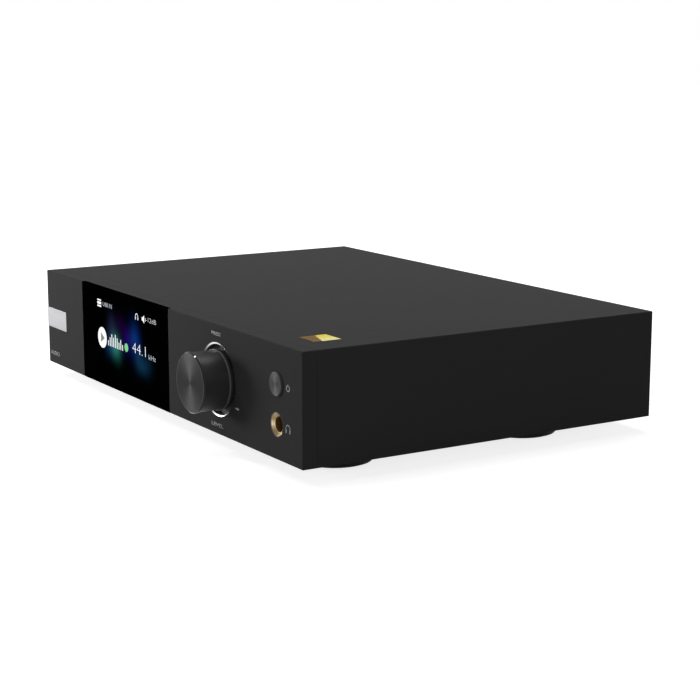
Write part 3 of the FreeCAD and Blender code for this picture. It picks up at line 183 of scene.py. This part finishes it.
def anodised(name):
    """Blasted and black-dyed aluminium: a fine grain, with the dye a little uneven."""
    level, rough = 0.03, 0.42
    look = Look(name, IOR=1.45, Specular_IOR_Level=0.0025)
    grain = look.noise(3200.0, 3.0)
    dye = look.uneven(look.noise(18.0, 3.0), grey(level * 0.99, 0.02), grey(level * 1.01, 0.02))
    specks = look.ramp(grain, (0.42, 0.0), (0.72, 0.5))
    look.dye = look.mix(specks, dye, grey(level * 1.5, 0.03))
    look.sheen = look.uneven(look.noise(140.0, 4.0), rough - 0.01, rough + 0.01, 0.25, 0.75)
    look.set("Base Color", look.dye)
    look.set("Roughness", look.sheen)
    look.bump(grain, 0.12, 0.03 * MM)
    return look


def panel_black():
    """The front panel: blasted all over, with a painted highlight at the top and foot of the turned edge round the
    knob, and its recess painted lighter.
    """
    ring_inner, ring_outer, ring_depth, soft = 15.93 * MM, 16.68 * MM, 0.33 * MM, 0.02 * MM
    recess_radius = 15.96 * MM
    look = anodised("panel_black")
    radius = look.away(KNOB)
    ring = look.band(radius, ring_inner, ring_outer, soft)
    shallow = look.band(look.part("Y"), FACE_Y - 1 * MM, FACE_Y + ring_depth, soft)
    cut = look.math("MULTIPLY", ring, shallow)
    # Painted light: the inside of the recess is painted a lighter grey than the dye, standing in for light in the
    # shade it lies in.
    lit_recess = look.math("LESS_THAN", radius, recess_radius)
    dye = look.mix(lit_recess, look.dye, grey(0.12))
    # From 0 at the foot of the ring to 1 at its top. The cut gets a painted highlight and is made metallic near
    # both, dull between.
    rise = look.math("DIVIDE", look.math("SUBTRACT", look.part("Z"), KNOB.z), radius)
    height = look.math("MULTIPLY_ADD", rise, 0.5, 0.5)
    # Painted highlight: the cut is lighter at its top and a little lighter at its foot, and metallic only there,
    # where light from above and below falls on it.
    bright = look.ramp(
        height, (0.02, 0.05), (0.1, 0.03), (0.19, 0.03), (0.81, 0.04), (0.9, 0.2), (0.98, 0.7)
    )
    highlight_metal = look.ramp(height, (0.1, 1.0), (0.2, 0.0), (0.75, 0.0), (0.88, 1.0))
    look.set("Base Color", look.mix(cut, dye, bright))
    look.set("Metallic", look.math("MULTIPLY", cut, highlight_metal))
    look.set("Roughness", look.blend(cut, look.sheen, 0.25))
    return look.material


def spun(name, centre, level, rough, metal, gloss, bands=()):
    """Dyed aluminium faced on a lathe: fine rings about the axis, which draw light into a bow tie.

    Each band has an inner and outer radius, a front and back, and a level, roughness and metal.
    """
    soft = 0.03 * MM
    look = Look(
        name, Metallic=metal, Anisotropic=0.65, Anisotropic_Rotation=0.25, Specular_IOR_Level=gloss
    )
    radius = look.away(centre)
    rings = look.lines(radius, 9000.0, 2.0)
    tone = look.uneven(rings, grey(level * 0.82), grey(level * 1.22))
    dull = look.uneven(look.noise(200.0), rough - 0.03, rough + 0.04)
    look.set("Tangent", look.add("ShaderNodeTangent", direction_type="RADIAL", axis="Y").outputs[0])
    look.bump(rings, 0.1, 0.01 * MM)
    for inner, outer, front, back, band_level, band_rough, band_metal in bands:
        across = look.band(radius, inner, outer, soft)
        share = look.math("MULTIPLY", across, look.band(look.part("Y"), front, back, soft))
        tone = look.mix(share, tone, grey(band_level))
        dull = look.blend(share, dull, band_rough)
        metal = look.blend(share, metal, band_metal)
    if bands:
        look.set("Metallic", metal)
    look.set("Base Color", tone)
    look.set("Roughness", dull)
    return look.material


def knob_spun():
    """The knob: a spun face, a bright bevel round it, a plainer side and a lip behind painted light grey as a
    highlight.
    """
    inner, outer, bevel_back = 12.9 * MM, 13.8 * MM, KNOB_FRONT + 0.52 * MM
    side = (inner, outer, bevel_back, FACE_Y + 5 * MM, 0.038, 0.36, 0.4)
    bevel = (inner, outer, KNOB_FRONT - 0.1 * MM, bevel_back, 0.018, 0.12, 1.0)
    # Painted highlight: the lip is painted light grey, a highlight line round the back of the knob.
    lip = (13.5 * MM, outer, FACE_Y - 1.2 * MM, FACE_Y - 0.35 * MM, 0.12, 0.2, 0.0)
    bands = (side, bevel, lip)
    return spun("knob_spun", KNOB, level=0.016, rough=0.48, metal=0.2, gloss=0.02, bands=bands)


def brushed(name, colour, rough, stretch, metal=1.0):
    """Brushed metal: long fine scratches along the axis that stretch scales down."""
    look = Look(name, Metallic=metal)
    scratches = look.noise(900.0, 4.0, stretch)
    look.set("Base Color", look.uneven(scratches, tinted(colour, 0.82), tinted(colour, 1.08)))
    look.set("Roughness", look.uneven(scratches, rough * 0.8, rough * 1.25, 0.2, 0.8))
    look.bump(scratches, 0.15, 0.02 * MM)
    return look.material


def moulded(name, colour, rough=0.5, grain=1500.0, depth=0.03, **sockets):
    """Moulded plastic, rubber or paint with a fine rough skin; its depth is in millimetres."""
    look = Look(name, **sockets)
    cloud = look.noise(60.0, 3.0)
    look.set("Base Color", look.uneven(cloud, tinted(colour, 0.88), tinted(colour, 1.12)))
    look.set("Roughness", look.uneven(cloud, rough - 0.05, rough + 0.06))
    look.bump(look.noise(grain, 3.0), 0.2, depth * MM)
    return look.material


def gilt(name):
    """Gold plate over turned brass."""
    rough = 0.2
    look = Look(name, Metallic=1.0)
    cloud = look.noise(300.0, 3.0)
    look.set("Base Color", look.uneven(cloud, (0.4, 0.3, 0.13, 1.0), (0.5, 0.38, 0.17, 1.0)))
    look.set("Roughness", look.uneven(cloud, rough * 0.8, rough * 1.3))
    look.bump(look.noise(2500.0, 2.0, (1.0, 0.05, 1.0)), 0.06, 0.01 * MM)
    return look


def bushing():
    """The headphone bushing: a gilt funnel with turned lines and a painted reflection that changes with height, a
    dark rim and a dull bore.
    """
    bore_radius, rim_radius, funnel_height = 3.32 * MM, 4.95 * MM, 10 * MM
    look = gilt("bushing")
    radius = look.away(JACK)
    lines = look.lines(look.part("Y"), 2600.0, 3.0)
    above = look.math("SUBTRACT", look.part("Z"), JACK.z)
    height = look.math("MULTIPLY_ADD", above, 1 / funnel_height, 0.5)
    # Painted reflection: the gilt is dark at the foot and top of the funnel and bright a little below its middle,
    # as light falls on it.
    painted_shine = look.ramp(
        height, (0.06, 0.0), (0.2, 0.1), (0.34, 0.6), (0.43, 1.0), (0.52, 0.75), (0.66, 0.12),
        (0.95, 0.22),
    )
    # The plate's colour carries the painted reflection; the turned lines darken it further.
    plate = look.mix(painted_shine, (0.14, 0.115, 0.045, 1.0), (0.76, 0.64, 0.38, 1.0))
    lines_and_painted_shine = look.mix(look.ramp(lines, (0.4, 0.8), (0.58, 0.0)), plate, (0.2, 0.12, 0.06, 1.0))
    bore = look.math("LESS_THAN", radius, bore_radius)
    rim = look.math("GREATER_THAN", radius, rim_radius)
    lined = look.mix(bore, lines_and_painted_shine, (0.15, 0.075, 0.02, 1.0))
    look.set("Base Color", look.mix(rim, lined, grey(0.02)))
    look.set("Metallic", look.math("SUBTRACT", 1.0, look.math("ADD", bore, rim)))
    return look.material


def foil():
    """Gold foil: a bronze strip at the front, gold behind it, with a faint grain."""
    tint = (0.3, 0.2, 0.03, 1.0)
    look = Look("foil", Metallic=0.2, Specular_IOR_Level=0.0, Specular_Tint=tint)
    low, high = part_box("gold_foil")
    across = look.share(look.part("X"), low.x, high.x)
    back = look.share(look.part("Y"), low.y, high.y)
    tilted = look.math("ADD", back, look.math("MULTIPLY", across, 0.3))
    gold = look.ramp(across, (0.1, (0.8, 0.66, 0.1, 1.0)), (1.0, (0.9, 0.86, 0.42, 1.0)))
    behind = look.ramp(tilted, (0.56, 0.0), (0.62, 1.0))
    look.set("Base Color", look.mix(behind, (0.215, 0.145, 0.075, 1.0), gold))
    look.set("Roughness", look.uneven(look.noise(500.0, 3.0), 0.22, 0.36))
    look.bump(look.noise(1800.0, 2.0), 0.05, 0.01 * MM)
    return look.material


def display_black():
    """Black glass with a lit screen under it: soft clouds of teal, violet and blue."""
    # Each cloud: its middle from the middle of the panel and its reach, in mm, and its colour.
    clouds = (
        ((-48.0, -3.0), (5.0, 4.8), (0.022, 0.18, 0.15)),
        ((-55.5, -3.5), (5.0, 4.6), (0.002, 0.016, 0.055)),
        ((-51.0, 4.5), (5.0, 7.0), (0.01, 0.012, 0.037)),
        ((-41.0, 8.0), (4.5, 5.0), (0.007, 0.0, 0.018)),
        ((-26.5, 4.0), (5.0, 6.5), (0.003, 0.025, 0.16)),
        ((-35.0, 2.0), (3.5, 5.0), (0.011, 0.0, 0.09)),
        ((-22.0, -3.0), (4.0, 4.5), (0.003, 0.015, 0.035)),
        ((-16.5, -7.0), (6.5, 4.3), (0.003, 0.024, 0.055)),
    )
    bend = 4 * MM
    look = Look(
        "display_black", Roughness=0.06, IOR=1.45, Specular_IOR_Level=0.0, Emission_Strength=1.0
    )
    look.set("Base Color", look.uneven(look.noise(30.0), grey(0.0002), grey(0.0005)))
    waves = {"Vector": look.place, "Scale": 60.0, "Detail": 1.0}
    wobble = look.add("ShaderNodeTexNoise", waves).outputs["Color"]
    bent = look.vector("ADD", look.place, look.vector("MULTIPLY", wobble, (bend, 0.0, bend)))
    glow = None
    for (x, z), (wide, high), colour in clouds:
        # The wobble moves every place by half its bend on average, so the middles move with it.
        centre = (x * MM + bend / 2, 0.0, MIDDLE_Z + z * MM + bend / 2)
        offset = look.vector("SUBTRACT", bent, centre)
        reach = (1 / (wide * MM), 0.0, 1 / (high * MM))
        radius = look.length(look.vector("MULTIPLY", offset, reach))
        fade = look.math("EXPONENT", look.math("MULTIPLY", look.math("POWER", radius, 2.0), -0.9))
        tint = look.mix(fade, grey(0.0), tinted(colour))
        glow = tint if glow is None else look.vector("ADD", glow, tint)
    front = look.band(look.part("Y"), FACE_Y - 1 * MM, FACE_Y + 0.1 * MM, 0.02 * MM)
    look.set("Emission Color", look.mix(front, grey(0.0), glow))
    return look.material


def lit(name, colour):
    """A lit mark on the screen, its light a little uneven from dot to dot."""
    look = Look(name, Roughness=0.4, Specular_IOR_Level=0.05, Emission_Strength=1.0)
    shade = look.uneven(look.noise(2500.0, 1.0), tinted(colour, 0.9), tinted(colour))
    look.set("Base Color", look.mix(shade, grey(0.02), grey(0.05)))
    look.set("Emission Color", shade)
    return look.material


def printed(name, level):
    """Screen-printed ink with a slightly ragged tone."""
    look = Look(name)
    grain = look.noise(2000.0, 3.0)
    look.set("Base Color", look.uneven(grain, grey(level * 0.85), grey(level * 1.1)))
    look.set("Roughness", look.uneven(look.noise(900.0), 0.5, 0.65))
    return look.material


def board_green():
    """Circuit board: lacquer over a brick pattern of tracks."""
    look = Look("board_green")
    bricks = {"Vector": look.place, "Scale": 160.0, "Mortar Size": 0.03}
    tracks = look.add("ShaderNodeTexBrick", bricks).outputs["Fac"]
    look.set("Base Color", look.mix(tracks, (0.006, 0.05, 0.022, 1.0), (0.012, 0.1, 0.045, 1.0)))
    look.set("Roughness", look.uneven(look.noise(200.0), 0.3, 0.42))
    look.bump(tracks, 0.3, 0.03 * MM)
    return look.material


def carrier_plastic():
    """The plastic of the four phono sockets, each moulded in its own colour."""
    sockets = {
        "coaxial_in_2": (0.02, 0.02, 0.02),
        "coaxial_in_1": (0.35, 0.11, 0.01),
        "line_out_right": (0.45, 0.02, 0.02),
        "line_out_left": (0.75, 0.75, 0.72),
    }
    look = Look("carrier_plastic")
    across = look.part("X")
    middles = [sum(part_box(name), Vector()).x / 2 for name in sockets]
    first, *others = sockets.values()
    shade = tinted(first)
    for left, right, colour in zip(middles, middles[1:], others):
        step = look.math("GREATER_THAN", across, (left + right) / 2)
        shade = look.mix(step, shade, tinted(colour))
    cloud = look.noise(80.0)
    look.set("Base Color", look.mix(look.uneven(cloud, 0.0, 0.12), shade, grey(0.1)))
    look.set("Roughness", look.uneven(cloud, 0.35, 0.45))
    look.bump(look.noise(1500.0), 0.1, 0.02 * MM)
    return look.material


LOOKS = {
    "panel_black": panel_black(),
    "cover_black": anodised("cover_black").material,
    "tray_black": moulded("tray_black", (0.025, 0.025, 0.026), grain=900.0, depth=0.05),
    "knob_spun": knob_spun(),
    "button_spun": spun("button_spun", BUTTON, level=0.048, rough=0.5, metal=0.06, gloss=0.05),
    "display_black": display_black(),
    "badge_silver": brushed("badge_silver", (0.14, 0.14, 0.144), 0.45, (0.05, 1.0, 1.0)),
    "foil": foil(),
    "gilt": gilt("gilt").material,
    "bushing": bushing(),
    "brass": brushed("brass", (0.62, 0.46, 0.2), 0.3, (1.0, 0.1, 1.0)),
    "steel": brushed("steel", (0.5, 0.5, 0.52), 0.35, (1.0, 1.0, 0.1)),
    "socket_steel": brushed("socket_steel", (0.2, 0.2, 0.21), 0.38, (1.0, 1.0, 0.15)),
    "screw_black": brushed("screw_black", (0.035, 0.035, 0.037), 0.35, (1.0, 0.2, 1.0), metal=0.8),
    "black_plastic": moulded("black_plastic", (0.022, 0.022, 0.023), rough=0.48),
    "white_plastic": moulded("white_plastic", (0.7, 0.7, 0.68), rough=0.45),
    "rubber": moulded("rubber", (0.012, 0.012, 0.012), 0.75, 1100.0, 0.06, Specular_IOR_Level=0.1),
    "foot_black": moulded("foot_black", (0.012, 0.012, 0.0125), 0.55, Specular_IOR_Level=0.1),
    "heat_black": moulded("heat_black", (0.02, 0.02, 0.021), grain=2000.0),
    "board_green": board_green(),
    "carriers": carrier_plastic(),
    "lit_white": lit("lit_white", (0.96, 0.98, 1.0)),
    "lit_soft": lit("lit_soft", (0.74, 0.8, 0.84)),
    "lit_green": lit("lit_green", (0.11, 0.6, 0.19)),
    "ink": printed("ink", 0.3),
    "ink_soft": printed("ink_soft", 0.17),
    "ink_dim": printed("ink_dim", 0.13),
    "ink_dark": printed("ink_dark", 0.01),
}

# The CAD nodes of each look; those that are in none are of black plastic.
DRESS = {
    "panel_black": ["front_panel"],
    "cover_black": ["top_cover", "rear_panel"],
    "tray_black": ["base_tray"],
    "knob_spun": ["knob"],
    "button_spun": ["power_button"],
    "display_black": ["display_glass", "lcd_module"],
    "badge_silver": ["badge_plate"],
    "foil": ["gold_foil"],
    "gilt": [
        "line_out_left", "line_out_right", "coaxial_in_1", "coaxial_in_2",
        "balanced_pins", "aerial_socket",
    ],
    "bushing": ["headphone_bushing"],
    "brass": ["knob_insert"],
    "steel": [
        "lcd_bracket", "encoder_shaft", "encoder_nut", "board_posts", "board_screws",
        "panel_screws", "audio_shield", "usb_socket", "inlet_blades",
    ],
    "socket_steel": ["balanced_out_left", "balanced_out_right"],
    "screw_black": ["base_screws", "rear_screws"],
    "white_plastic": ["encoder_plunger", "switch_plunger", "ribbon_cable"],
    "rubber": ["foot_pads"],
    "foot_black": [name for name in nodes if name.startswith("foot_") and name != "foot_pads"],
    "heat_black": ["heat_sink"],
    "board_green": ["front_board", "main_board", "power_board"],
    "carriers": ["socket_carriers"],
}


def dress(name, look):
    materials = nodes[name].data.materials
    materials.clear()
    materials.append(LOOKS[look])


for name in nodes:
    dress(name, "black_plastic")
for look, members in DRESS.items():
    for name in members:
        dress(name, look)


# ---- printed and lit marks -------------------------------------------------------------------
FRONT = Matrix.Rotation(math.radians(90), 4, "X")
REAR = Matrix.Rotation(math.radians(180), 4, "Z") @ FRONT
PRINT_THICK = 0.02 * MM
PRINT_Y = FACE_Y - PRINT_THICK / 2
CAPITAL_SHARE = 0.69    # a capital's height, as a share of the built-in font's size
SCREEN_SLIM = 0.03      # how much thinner the letters on the screen are, as a share of their height
WELD = 1e-7             # corners nearer than this are one


def add_piece(name, mesh, look, body="chassis"):
    piece = bpy.data.objects.new(name, mesh)
    bpy.context.scene.collection.objects.link(piece)
    mesh.materials.clear()
    mesh.materials.append(LOOKS[look])
    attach(piece, body)


def text_mesh(text, high, slim):
    """Words in the built-in letters, with capitals as tall as asked and their middle at 0.

    slim takes a share of the height off each stroke's edge.
    """
    curve = bpy.data.curves.new("words", "FONT")
    curve.body = text
    curve.align_x = "CENTER"
    curve.align_y = "CENTER"
    curve.size = high / CAPITAL_SHARE
    curve.offset = -slim * high
    curve.extrude = PRINT_THICK / 2
    curve.resolution_u = 6
    holder = bpy.data.objects.new("words", curve)
    bpy.context.scene.collection.objects.link(holder)
    bpy.context.view_layer.update()
    mesh = bpy.data.meshes.new_from_object(holder)
    bpy.data.objects.remove(holder)
    return mesh


def widen(mesh, wide):
    """Stretches a mesh sideways to a width."""
    span = [v.co.x for v in mesh.vertices]
    factor = wide / (max(span) - min(span))
    mesh.transform(Matrix.Scale(factor, 4, (1, 0, 0)))


def lay(mesh, side, x, z, y):
    """Turns a mesh drawn flat to face front or rear, and moves it to its place."""
    mesh.transform(Matrix.Translation((x, y, z)) @ side)


def words(name, text, place, high, look, wide=None, slim=0.0, side=FRONT, y=PRINT_Y):
    """A piece of thin words; wide and high are in millimetres, and place is an x and a z."""
    mesh = text_mesh(text, high * MM, slim)
    if wide:
        widen(mesh, wide * MM)
    lay(mesh, side, *place, y)
    add_piece(name, mesh, look)


class Drawing:
    """A flat drawing of bars, discs and bent bands, in millimetres, made into one thin mesh."""

    def __init__(self):
        self.mesh = bmesh.new()

    def shape(self, points):
        corners = [self.mesh.verts.new((x * MM, z * MM, 0.0)) for x, z in points]
        self.mesh.faces.new(corners)

    def bar(self, x, z, wide, high):
        left, right, low, top = x - wide / 2, x + wide / 2, z - high / 2, z + high / 2
        self.shape([(left, low), (right, low), (right, top), (left, top)])

    def disc(self, radius, steps):
        turns = [2 * math.pi / steps * n for n in range(steps)]
        self.shape([(radius * math.cos(turn), radius * math.sin(turn)) for turn in turns])

    def arc(self, x, z, radius, wide, start, end, steps):
        """A bent band between two angles in degrees, counted from the right."""
        def point(distance, angle):
            return x + distance * math.cos(angle), z + distance * math.sin(angle)

        inner, outer = radius - wide / 2, radius + wide / 2
        angles = [math.radians(start + (end - start) * n / steps) for n in range(steps + 1)]
        for a, b in zip(angles, angles[1:]):
            self.shape([point(inner, a), point(outer, a), point(outer, b), point(inner, b)])

    def sort_faces(self):
        """Puts the faces in the same order each run, which extruding doesn't."""
        self.mesh.verts.index_update()
        count = len(self.mesh.verts)
        self.mesh.faces.sort(
            key=lambda face: sum(v.index * count**n for n, v in enumerate(face.verts[:3]))
        )

    def finish(self, name, look, slot, place, y=FACE_Y):
        """Gives the drawing its thickness and sets it on the front; place is an x and a z."""
        bmesh.ops.remove_doubles(self.mesh, verts=self.mesh.verts, dist=WELD)
        raised = bmesh.ops.extrude_face_region(self.mesh, geom=self.mesh.faces[:])
        moved = [v for v in raised["geom"] if isinstance(v, bmesh.types.BMVert)]
        bmesh.ops.translate(self.mesh, verts=moved, vec=(0.0, 0.0, PRINT_THICK))
        bmesh.ops.recalc_face_normals(self.mesh, faces=self.mesh.faces)
        self.sort_faces()
        mesh = bpy.data.meshes.new(name)
        self.mesh.to_mesh(mesh)
        self.mesh.free()
        lay(mesh, FRONT, *place, y)
        add_piece(name, mesh, look)


def headphones(radius, band, steps, cup_x, cup_z, cup_wide, cup_high):
    """The sign of a pair of headphones: a half ring with a cup at each end."""
    sign = Drawing()
    sign.arc(0, 0, radius, band, 0, 180, steps)
    for side in (-1, 1):
        sign.bar(side * cup_x, cup_z, cup_wide, cup_high)
    return sign


def near(centre, x, z):
    """The x and z of a place on the front, given in millimetres from a centre."""
    return centre.x + x * MM, centre.z + z * MM


def front_marks():
    """The printed marks round the knob, the key and the socket."""
    slot = "white_plastic"
    words("mark_press", "PRESS", near(KNOB, -0.9, 20.5), 1.5, "ink_soft", wide=8.4)
    words("mark_level", "LEVEL", near(KNOB, -0.7, -20.7), 1.6, "ink_soft", wide=11)
    arrow = Drawing()
    arrow.bar(-1.0, 0.2, 1.9, 0.45)
    arrow.shape([(0.0, 0.9), (2.1, 0.2), (0.0, -0.6)])
    arrow.finish("mark_turn", "ink", slot, near(KNOB, 18.1, -10.0))
    power = Drawing()
    power.arc(0, 0, 1.3, 0.4, 125, 415, 30)
    power.bar(0, 1.0, 0.4, 1.3)
    power.finish("mark_power", "ink_dim", slot, near(BUTTON, 9.4, -0.2))
    words("mark_kind", "AUDIO", near(PANEL, -126.6, -19.2), 2.0, "ink_dim", wide=11.5)
    phones = headphones(1.75, 0.4, 20, 1.55, -0.9, 0.8, 1.6)
    phones.finish("mark_phones", "ink_dim", slot, near(JACK, 9.4, -0.2))


def screen_marks():
    """What the lit screen shows: an input, the level, a playing disc, bars and the sample rate."""
    slot, slim = "lcd", SCREEN_SLIM
    disc_place = near(PANEL, -64.0, -0.7)
    source = Drawing()
    source.bar(0, 1.5, 4.6, 0.7)
    source.bar(0, 0.0, 4.6, 1.3)
    source.bar(0, -1.55, 4.6, 0.8)
    source.finish("screen_source", "lit_white", slot, near(PANEL, -66.8, 16.6))
    words("screen_input", "USB IN", near(PANEL, -57.0, 16.5), 2.2, "lit_soft", 10.6, slim)
    phones = headphones(1.4, 0.5, 16, 1.35, -0.8, 0.9, 1.4)
    phones.finish("screen_phones", "lit_soft", slot, near(PANEL, -22.7, 15.9))
    speaker = Drawing()
    speaker.shape([(-1.9, -0.8), (-0.9, -0.8), (0.7, -2.0), (0.7, 2.0), (-0.9, 0.8), (-1.9, 0.8)])
    speaker.arc(0.9, 0, 1.2, 0.4, -50, 50, 8)
    speaker.finish("screen_speaker", "lit_white", slot, near(PANEL, -15.0, 15.8))
    words("screen_level", "-12dB", near(PANEL, -6.9, 16.0), 2.3, "lit_soft", 11.0, slim)
    disc = Drawing()
    disc.disc(5.25, 64)
    disc.finish("screen_disc", "lit_white", slot, disc_place)
    play = Drawing()
    play.shape([(-1.7, -2.6), (2.9, 0.0), (-1.7, 2.6)])
    play.finish("screen_play", "ink_dark", slot, disc_place, y=FACE_Y - PRINT_THICK)
    bars = Drawing()
    for n, high in enumerate((2.6, 4.4, 6.2, 4.8, 6.6, 5.2, 3.4, 5.0, 2.8)):
        bars.bar(-8.4 + 2.1 * n, high / 2 - 2.9, 0.8, high)
    bars.finish("screen_bars", "lit_white", slot, near(PANEL, -48.2, -0.7))
    dot = Drawing()
    dot.disc(2.1, 40)
    dot.finish("screen_dot", "lit_green", slot, near(PANEL, -35.4, -1.3))
    words("screen_rate", "44.1", near(PANEL, -19.9, -0.2), 5.3, "lit_white", 15.0, slim)
    words("screen_unit", "kHz", near(PANEL, -6.3, -1.9), 2.5, "lit_soft", 7.6, slim)


def rear_marks():
    """Plain letters, numbers and names of the sockets at the back, each above what it names."""
    def label(text, rise, *sockets, high=2.2):
        boxes = [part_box(socket) for socket in sockets]
        x = sum(low.x + top.x for low, top in boxes) / (2 * len(boxes))
        z = max(top.z for low, top in boxes) + rise * MM
        name = "mark_" + "_".join(sockets)
        y = REAR_Y + PRINT_THICK / 2
        words(name, text, (x, z), high, "ink", side=REAR, y=y)

    for letter, socket in (
        ("L", "line_out_left"), ("R", "line_out_right"),
        ("1", "coaxial_in_1"), ("2", "coaxial_in_2"),
        ("1", "optical_in_1"), ("2", "optical_in_2"),
        ("L", "balanced_out_left"), ("R", "balanced_out_right"),
    ):
        label(letter, 2.6, socket)
    label("LINE OUT", 7.0, "line_out_left", "line_out_right", high=1.6)
    label("COAXIAL", 7.0, "coaxial_in_1", "coaxial_in_2", high=1.6)
    label("OPTICAL", 8.0, "optical_in_1", "optical_in_2", high=1.6)
    label("BALANCED", 2.6, "balanced_out_left", "balanced_out_right", high=1.6)
    label("USB", 2.6, "usb_socket", high=1.6)
    label("TRIGGER", 2.4, "trigger_socket", high=1.4)
    label("AC IN", 2.2, "mains_inlet", high=1.6)


front_marks()
screen_marks()
rear_marks()


# ---- floor, light and camera -----------------------------------------------------------------
FLOOR_REACH, FLOOR_Z = 3.0, -0.2 * MM
FLOOR_LIFT = 0.8        # how bright the floor glows under the object; from afar it is white
LIFT_FROM, LIFT_TO = 0.3, 1.2
WORLD_LEVEL = 0.12      # what the world gives to the object; to the eye it is white
LAMPS = (
    # name, place, size in metres and power in watts
    ("ceiling", (-0.2, 0.08, 1.3), (1.4, 0.7), 12.2),
    ("front_left", (-0.75, -0.53, 0.12), (0.35, 0.2), 8.0),
    ("right_fill", (1.4, -0.5, 0.6), (0.6, 0.6), 4.0),
    ("rear_fill", (-0.5, 1.35, 0.3), (0.8, 0.6), 5.2),
)
AZIMUTH, ELEVATION, ROLL = math.radians(58.054), math.radians(10.943), math.radians(0.059)
CAMERA_OFFSET = Vector((0.72234, -0.43706, 0.1571))     # from the middle of the case
LENS, SENSOR = 88.29, 36.0
BEVEL_RADIUS = 13.4 * MM
SPARKLE_TURN = math.radians(69)     # where on the knob's bevel the spark lies, from its right
SPARKLE_AWAY, SPARKLE_SIZE, SPARKLE_POWER = 1.1, (0.07, 0.07), 2.1


def seen_rays(tree):
    """1 for rays that look straight at a surface, are mirrored in something or pass through it."""
    path = add_node(tree, "ShaderNodeLightPath")
    level = path.outputs["Is Camera Ray"]
    for kind in ("Is Glossy Ray", "Is Transmission Ray"):
        values = {0: level, 1: path.outputs[kind]}
        level = add_node(tree, "ShaderNodeMath", values, operation="MAXIMUM").outputs[0]
    return level


def floor_white():
    """Pale, with a glow that only seen rays meet, stronger far off; nothing shows from below."""
    look = Look(
        "floor_white", Base_Color=grey(0.5), Roughness=0.9, Specular_IOR_Level=0.0,
        Emission_Color=grey(1.0),
    )
    far = {
        "Value": look.length(look.place),
        "From Min": LIFT_FROM, "From Max": LIFT_TO, "To Min": FLOOR_LIFT, "To Max": 1.0,
    }
    lift = look.add("ShaderNodeMapRange", far).outputs[0]
    look.set("Emission Strength", look.math("MULTIPLY", seen_rays(look.tree), lift))
    below = look.add("ShaderNodeNewGeometry").outputs["Backfacing"]
    look.set("Alpha", look.math("SUBTRACT", 1.0, below))
    return look.material


def make_floor():
    mesh = bpy.data.meshes.new("floor")
    ends = ((-1, -1), (1, -1), (1, 1), (-1, 1))
    corners = [(x * FLOOR_REACH, y * FLOOR_REACH, FLOOR_Z) for x, y in ends]
    mesh.from_pydata(corners, [], [(0, 1, 2, 3)])
    floor = bpy.data.objects.new("floor", mesh)
    bpy.context.scene.collection.objects.link(floor)
    mesh.materials.append(floor_white())


def make_world():
    world = bpy.data.worlds.new("studio")
    bpy.context.scene.world = world
    world.use_nodes = True
    tree = world.node_tree
    colour = mix_colours(tree, seen_rays(tree), grey(WORLD_LEVEL), grey(1.0))
    tree.links.new(colour, tree.nodes["Background"].inputs["Color"])


def softbox(name, place, size, power, target=(0.0, 0.0, 0.03)):
    lamp = bpy.data.lights.new(name, "AREA")
    lamp.shape = "RECTANGLE"
    lamp.size, lamp.size_y = size
    lamp.energy = power
    holder = bpy.data.objects.new(name, lamp)
    bpy.context.scene.collection.objects.link(holder)
    holder.location = place
    holder.rotation_euler = (Vector(target) - Vector(place)).to_track_quat("-Z", "Y").to_euler()


def make_camera():
    """The viewer stands to the right of the front and a little above it."""
    away = Vector((
        math.sin(AZIMUTH) * math.cos(ELEVATION),
        -math.cos(AZIMUTH) * math.cos(ELEVATION),
        math.sin(ELEVATION),
    ))
    right = Vector((math.cos(AZIMUTH), math.sin(AZIMUTH), 0.0))
    up = away.cross(right)
    case_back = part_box("top_cover")[1].y
    centre = Vector((0.0, (FACE_Y + case_back) / 2, MIDDLE_Z))
    turned = Matrix((right, up, away)).transposed() @ Matrix.Rotation(ROLL, 3, "Z")
    camera = bpy.data.cameras.new("camera")
    camera.lens = LENS
    camera.sensor_width = SENSOR
    holder = bpy.data.objects.new("camera", camera)
    bpy.context.scene.collection.objects.link(holder)
    holder.matrix_world = Matrix.Translation(centre + CAMERA_OFFSET) @ turned.to_4x4()
    bpy.context.scene.camera = holder


def make_sparkle():
    """A small lamp, set where the upper right of the knob's bevel mirrors it to the camera."""
    outward = Vector((math.cos(SPARKLE_TURN), 0.0, math.sin(SPARKLE_TURN)))
    bevel_normal = (outward + Vector((0.0, -1.0, 0.0))).normalized()
    spot = Vector((KNOB.x, KNOB_FRONT, KNOB.z)) + outward * BEVEL_RADIUS
    seen_from = (bpy.context.scene.camera.matrix_world.translation - spot).normalized()
    mirrored = 2 * bevel_normal.dot(seen_from) * bevel_normal - seen_from
    softbox("sparkle", spot + SPARKLE_AWAY * mirrored, SPARKLE_SIZE, SPARKLE_POWER, spot)


make_floor()
make_world()
for lamp in LAMPS:
    softbox(*lamp)
make_camera()
make_sparkle()
bpy.context.scene.view_settings.view_transform = "Standard"
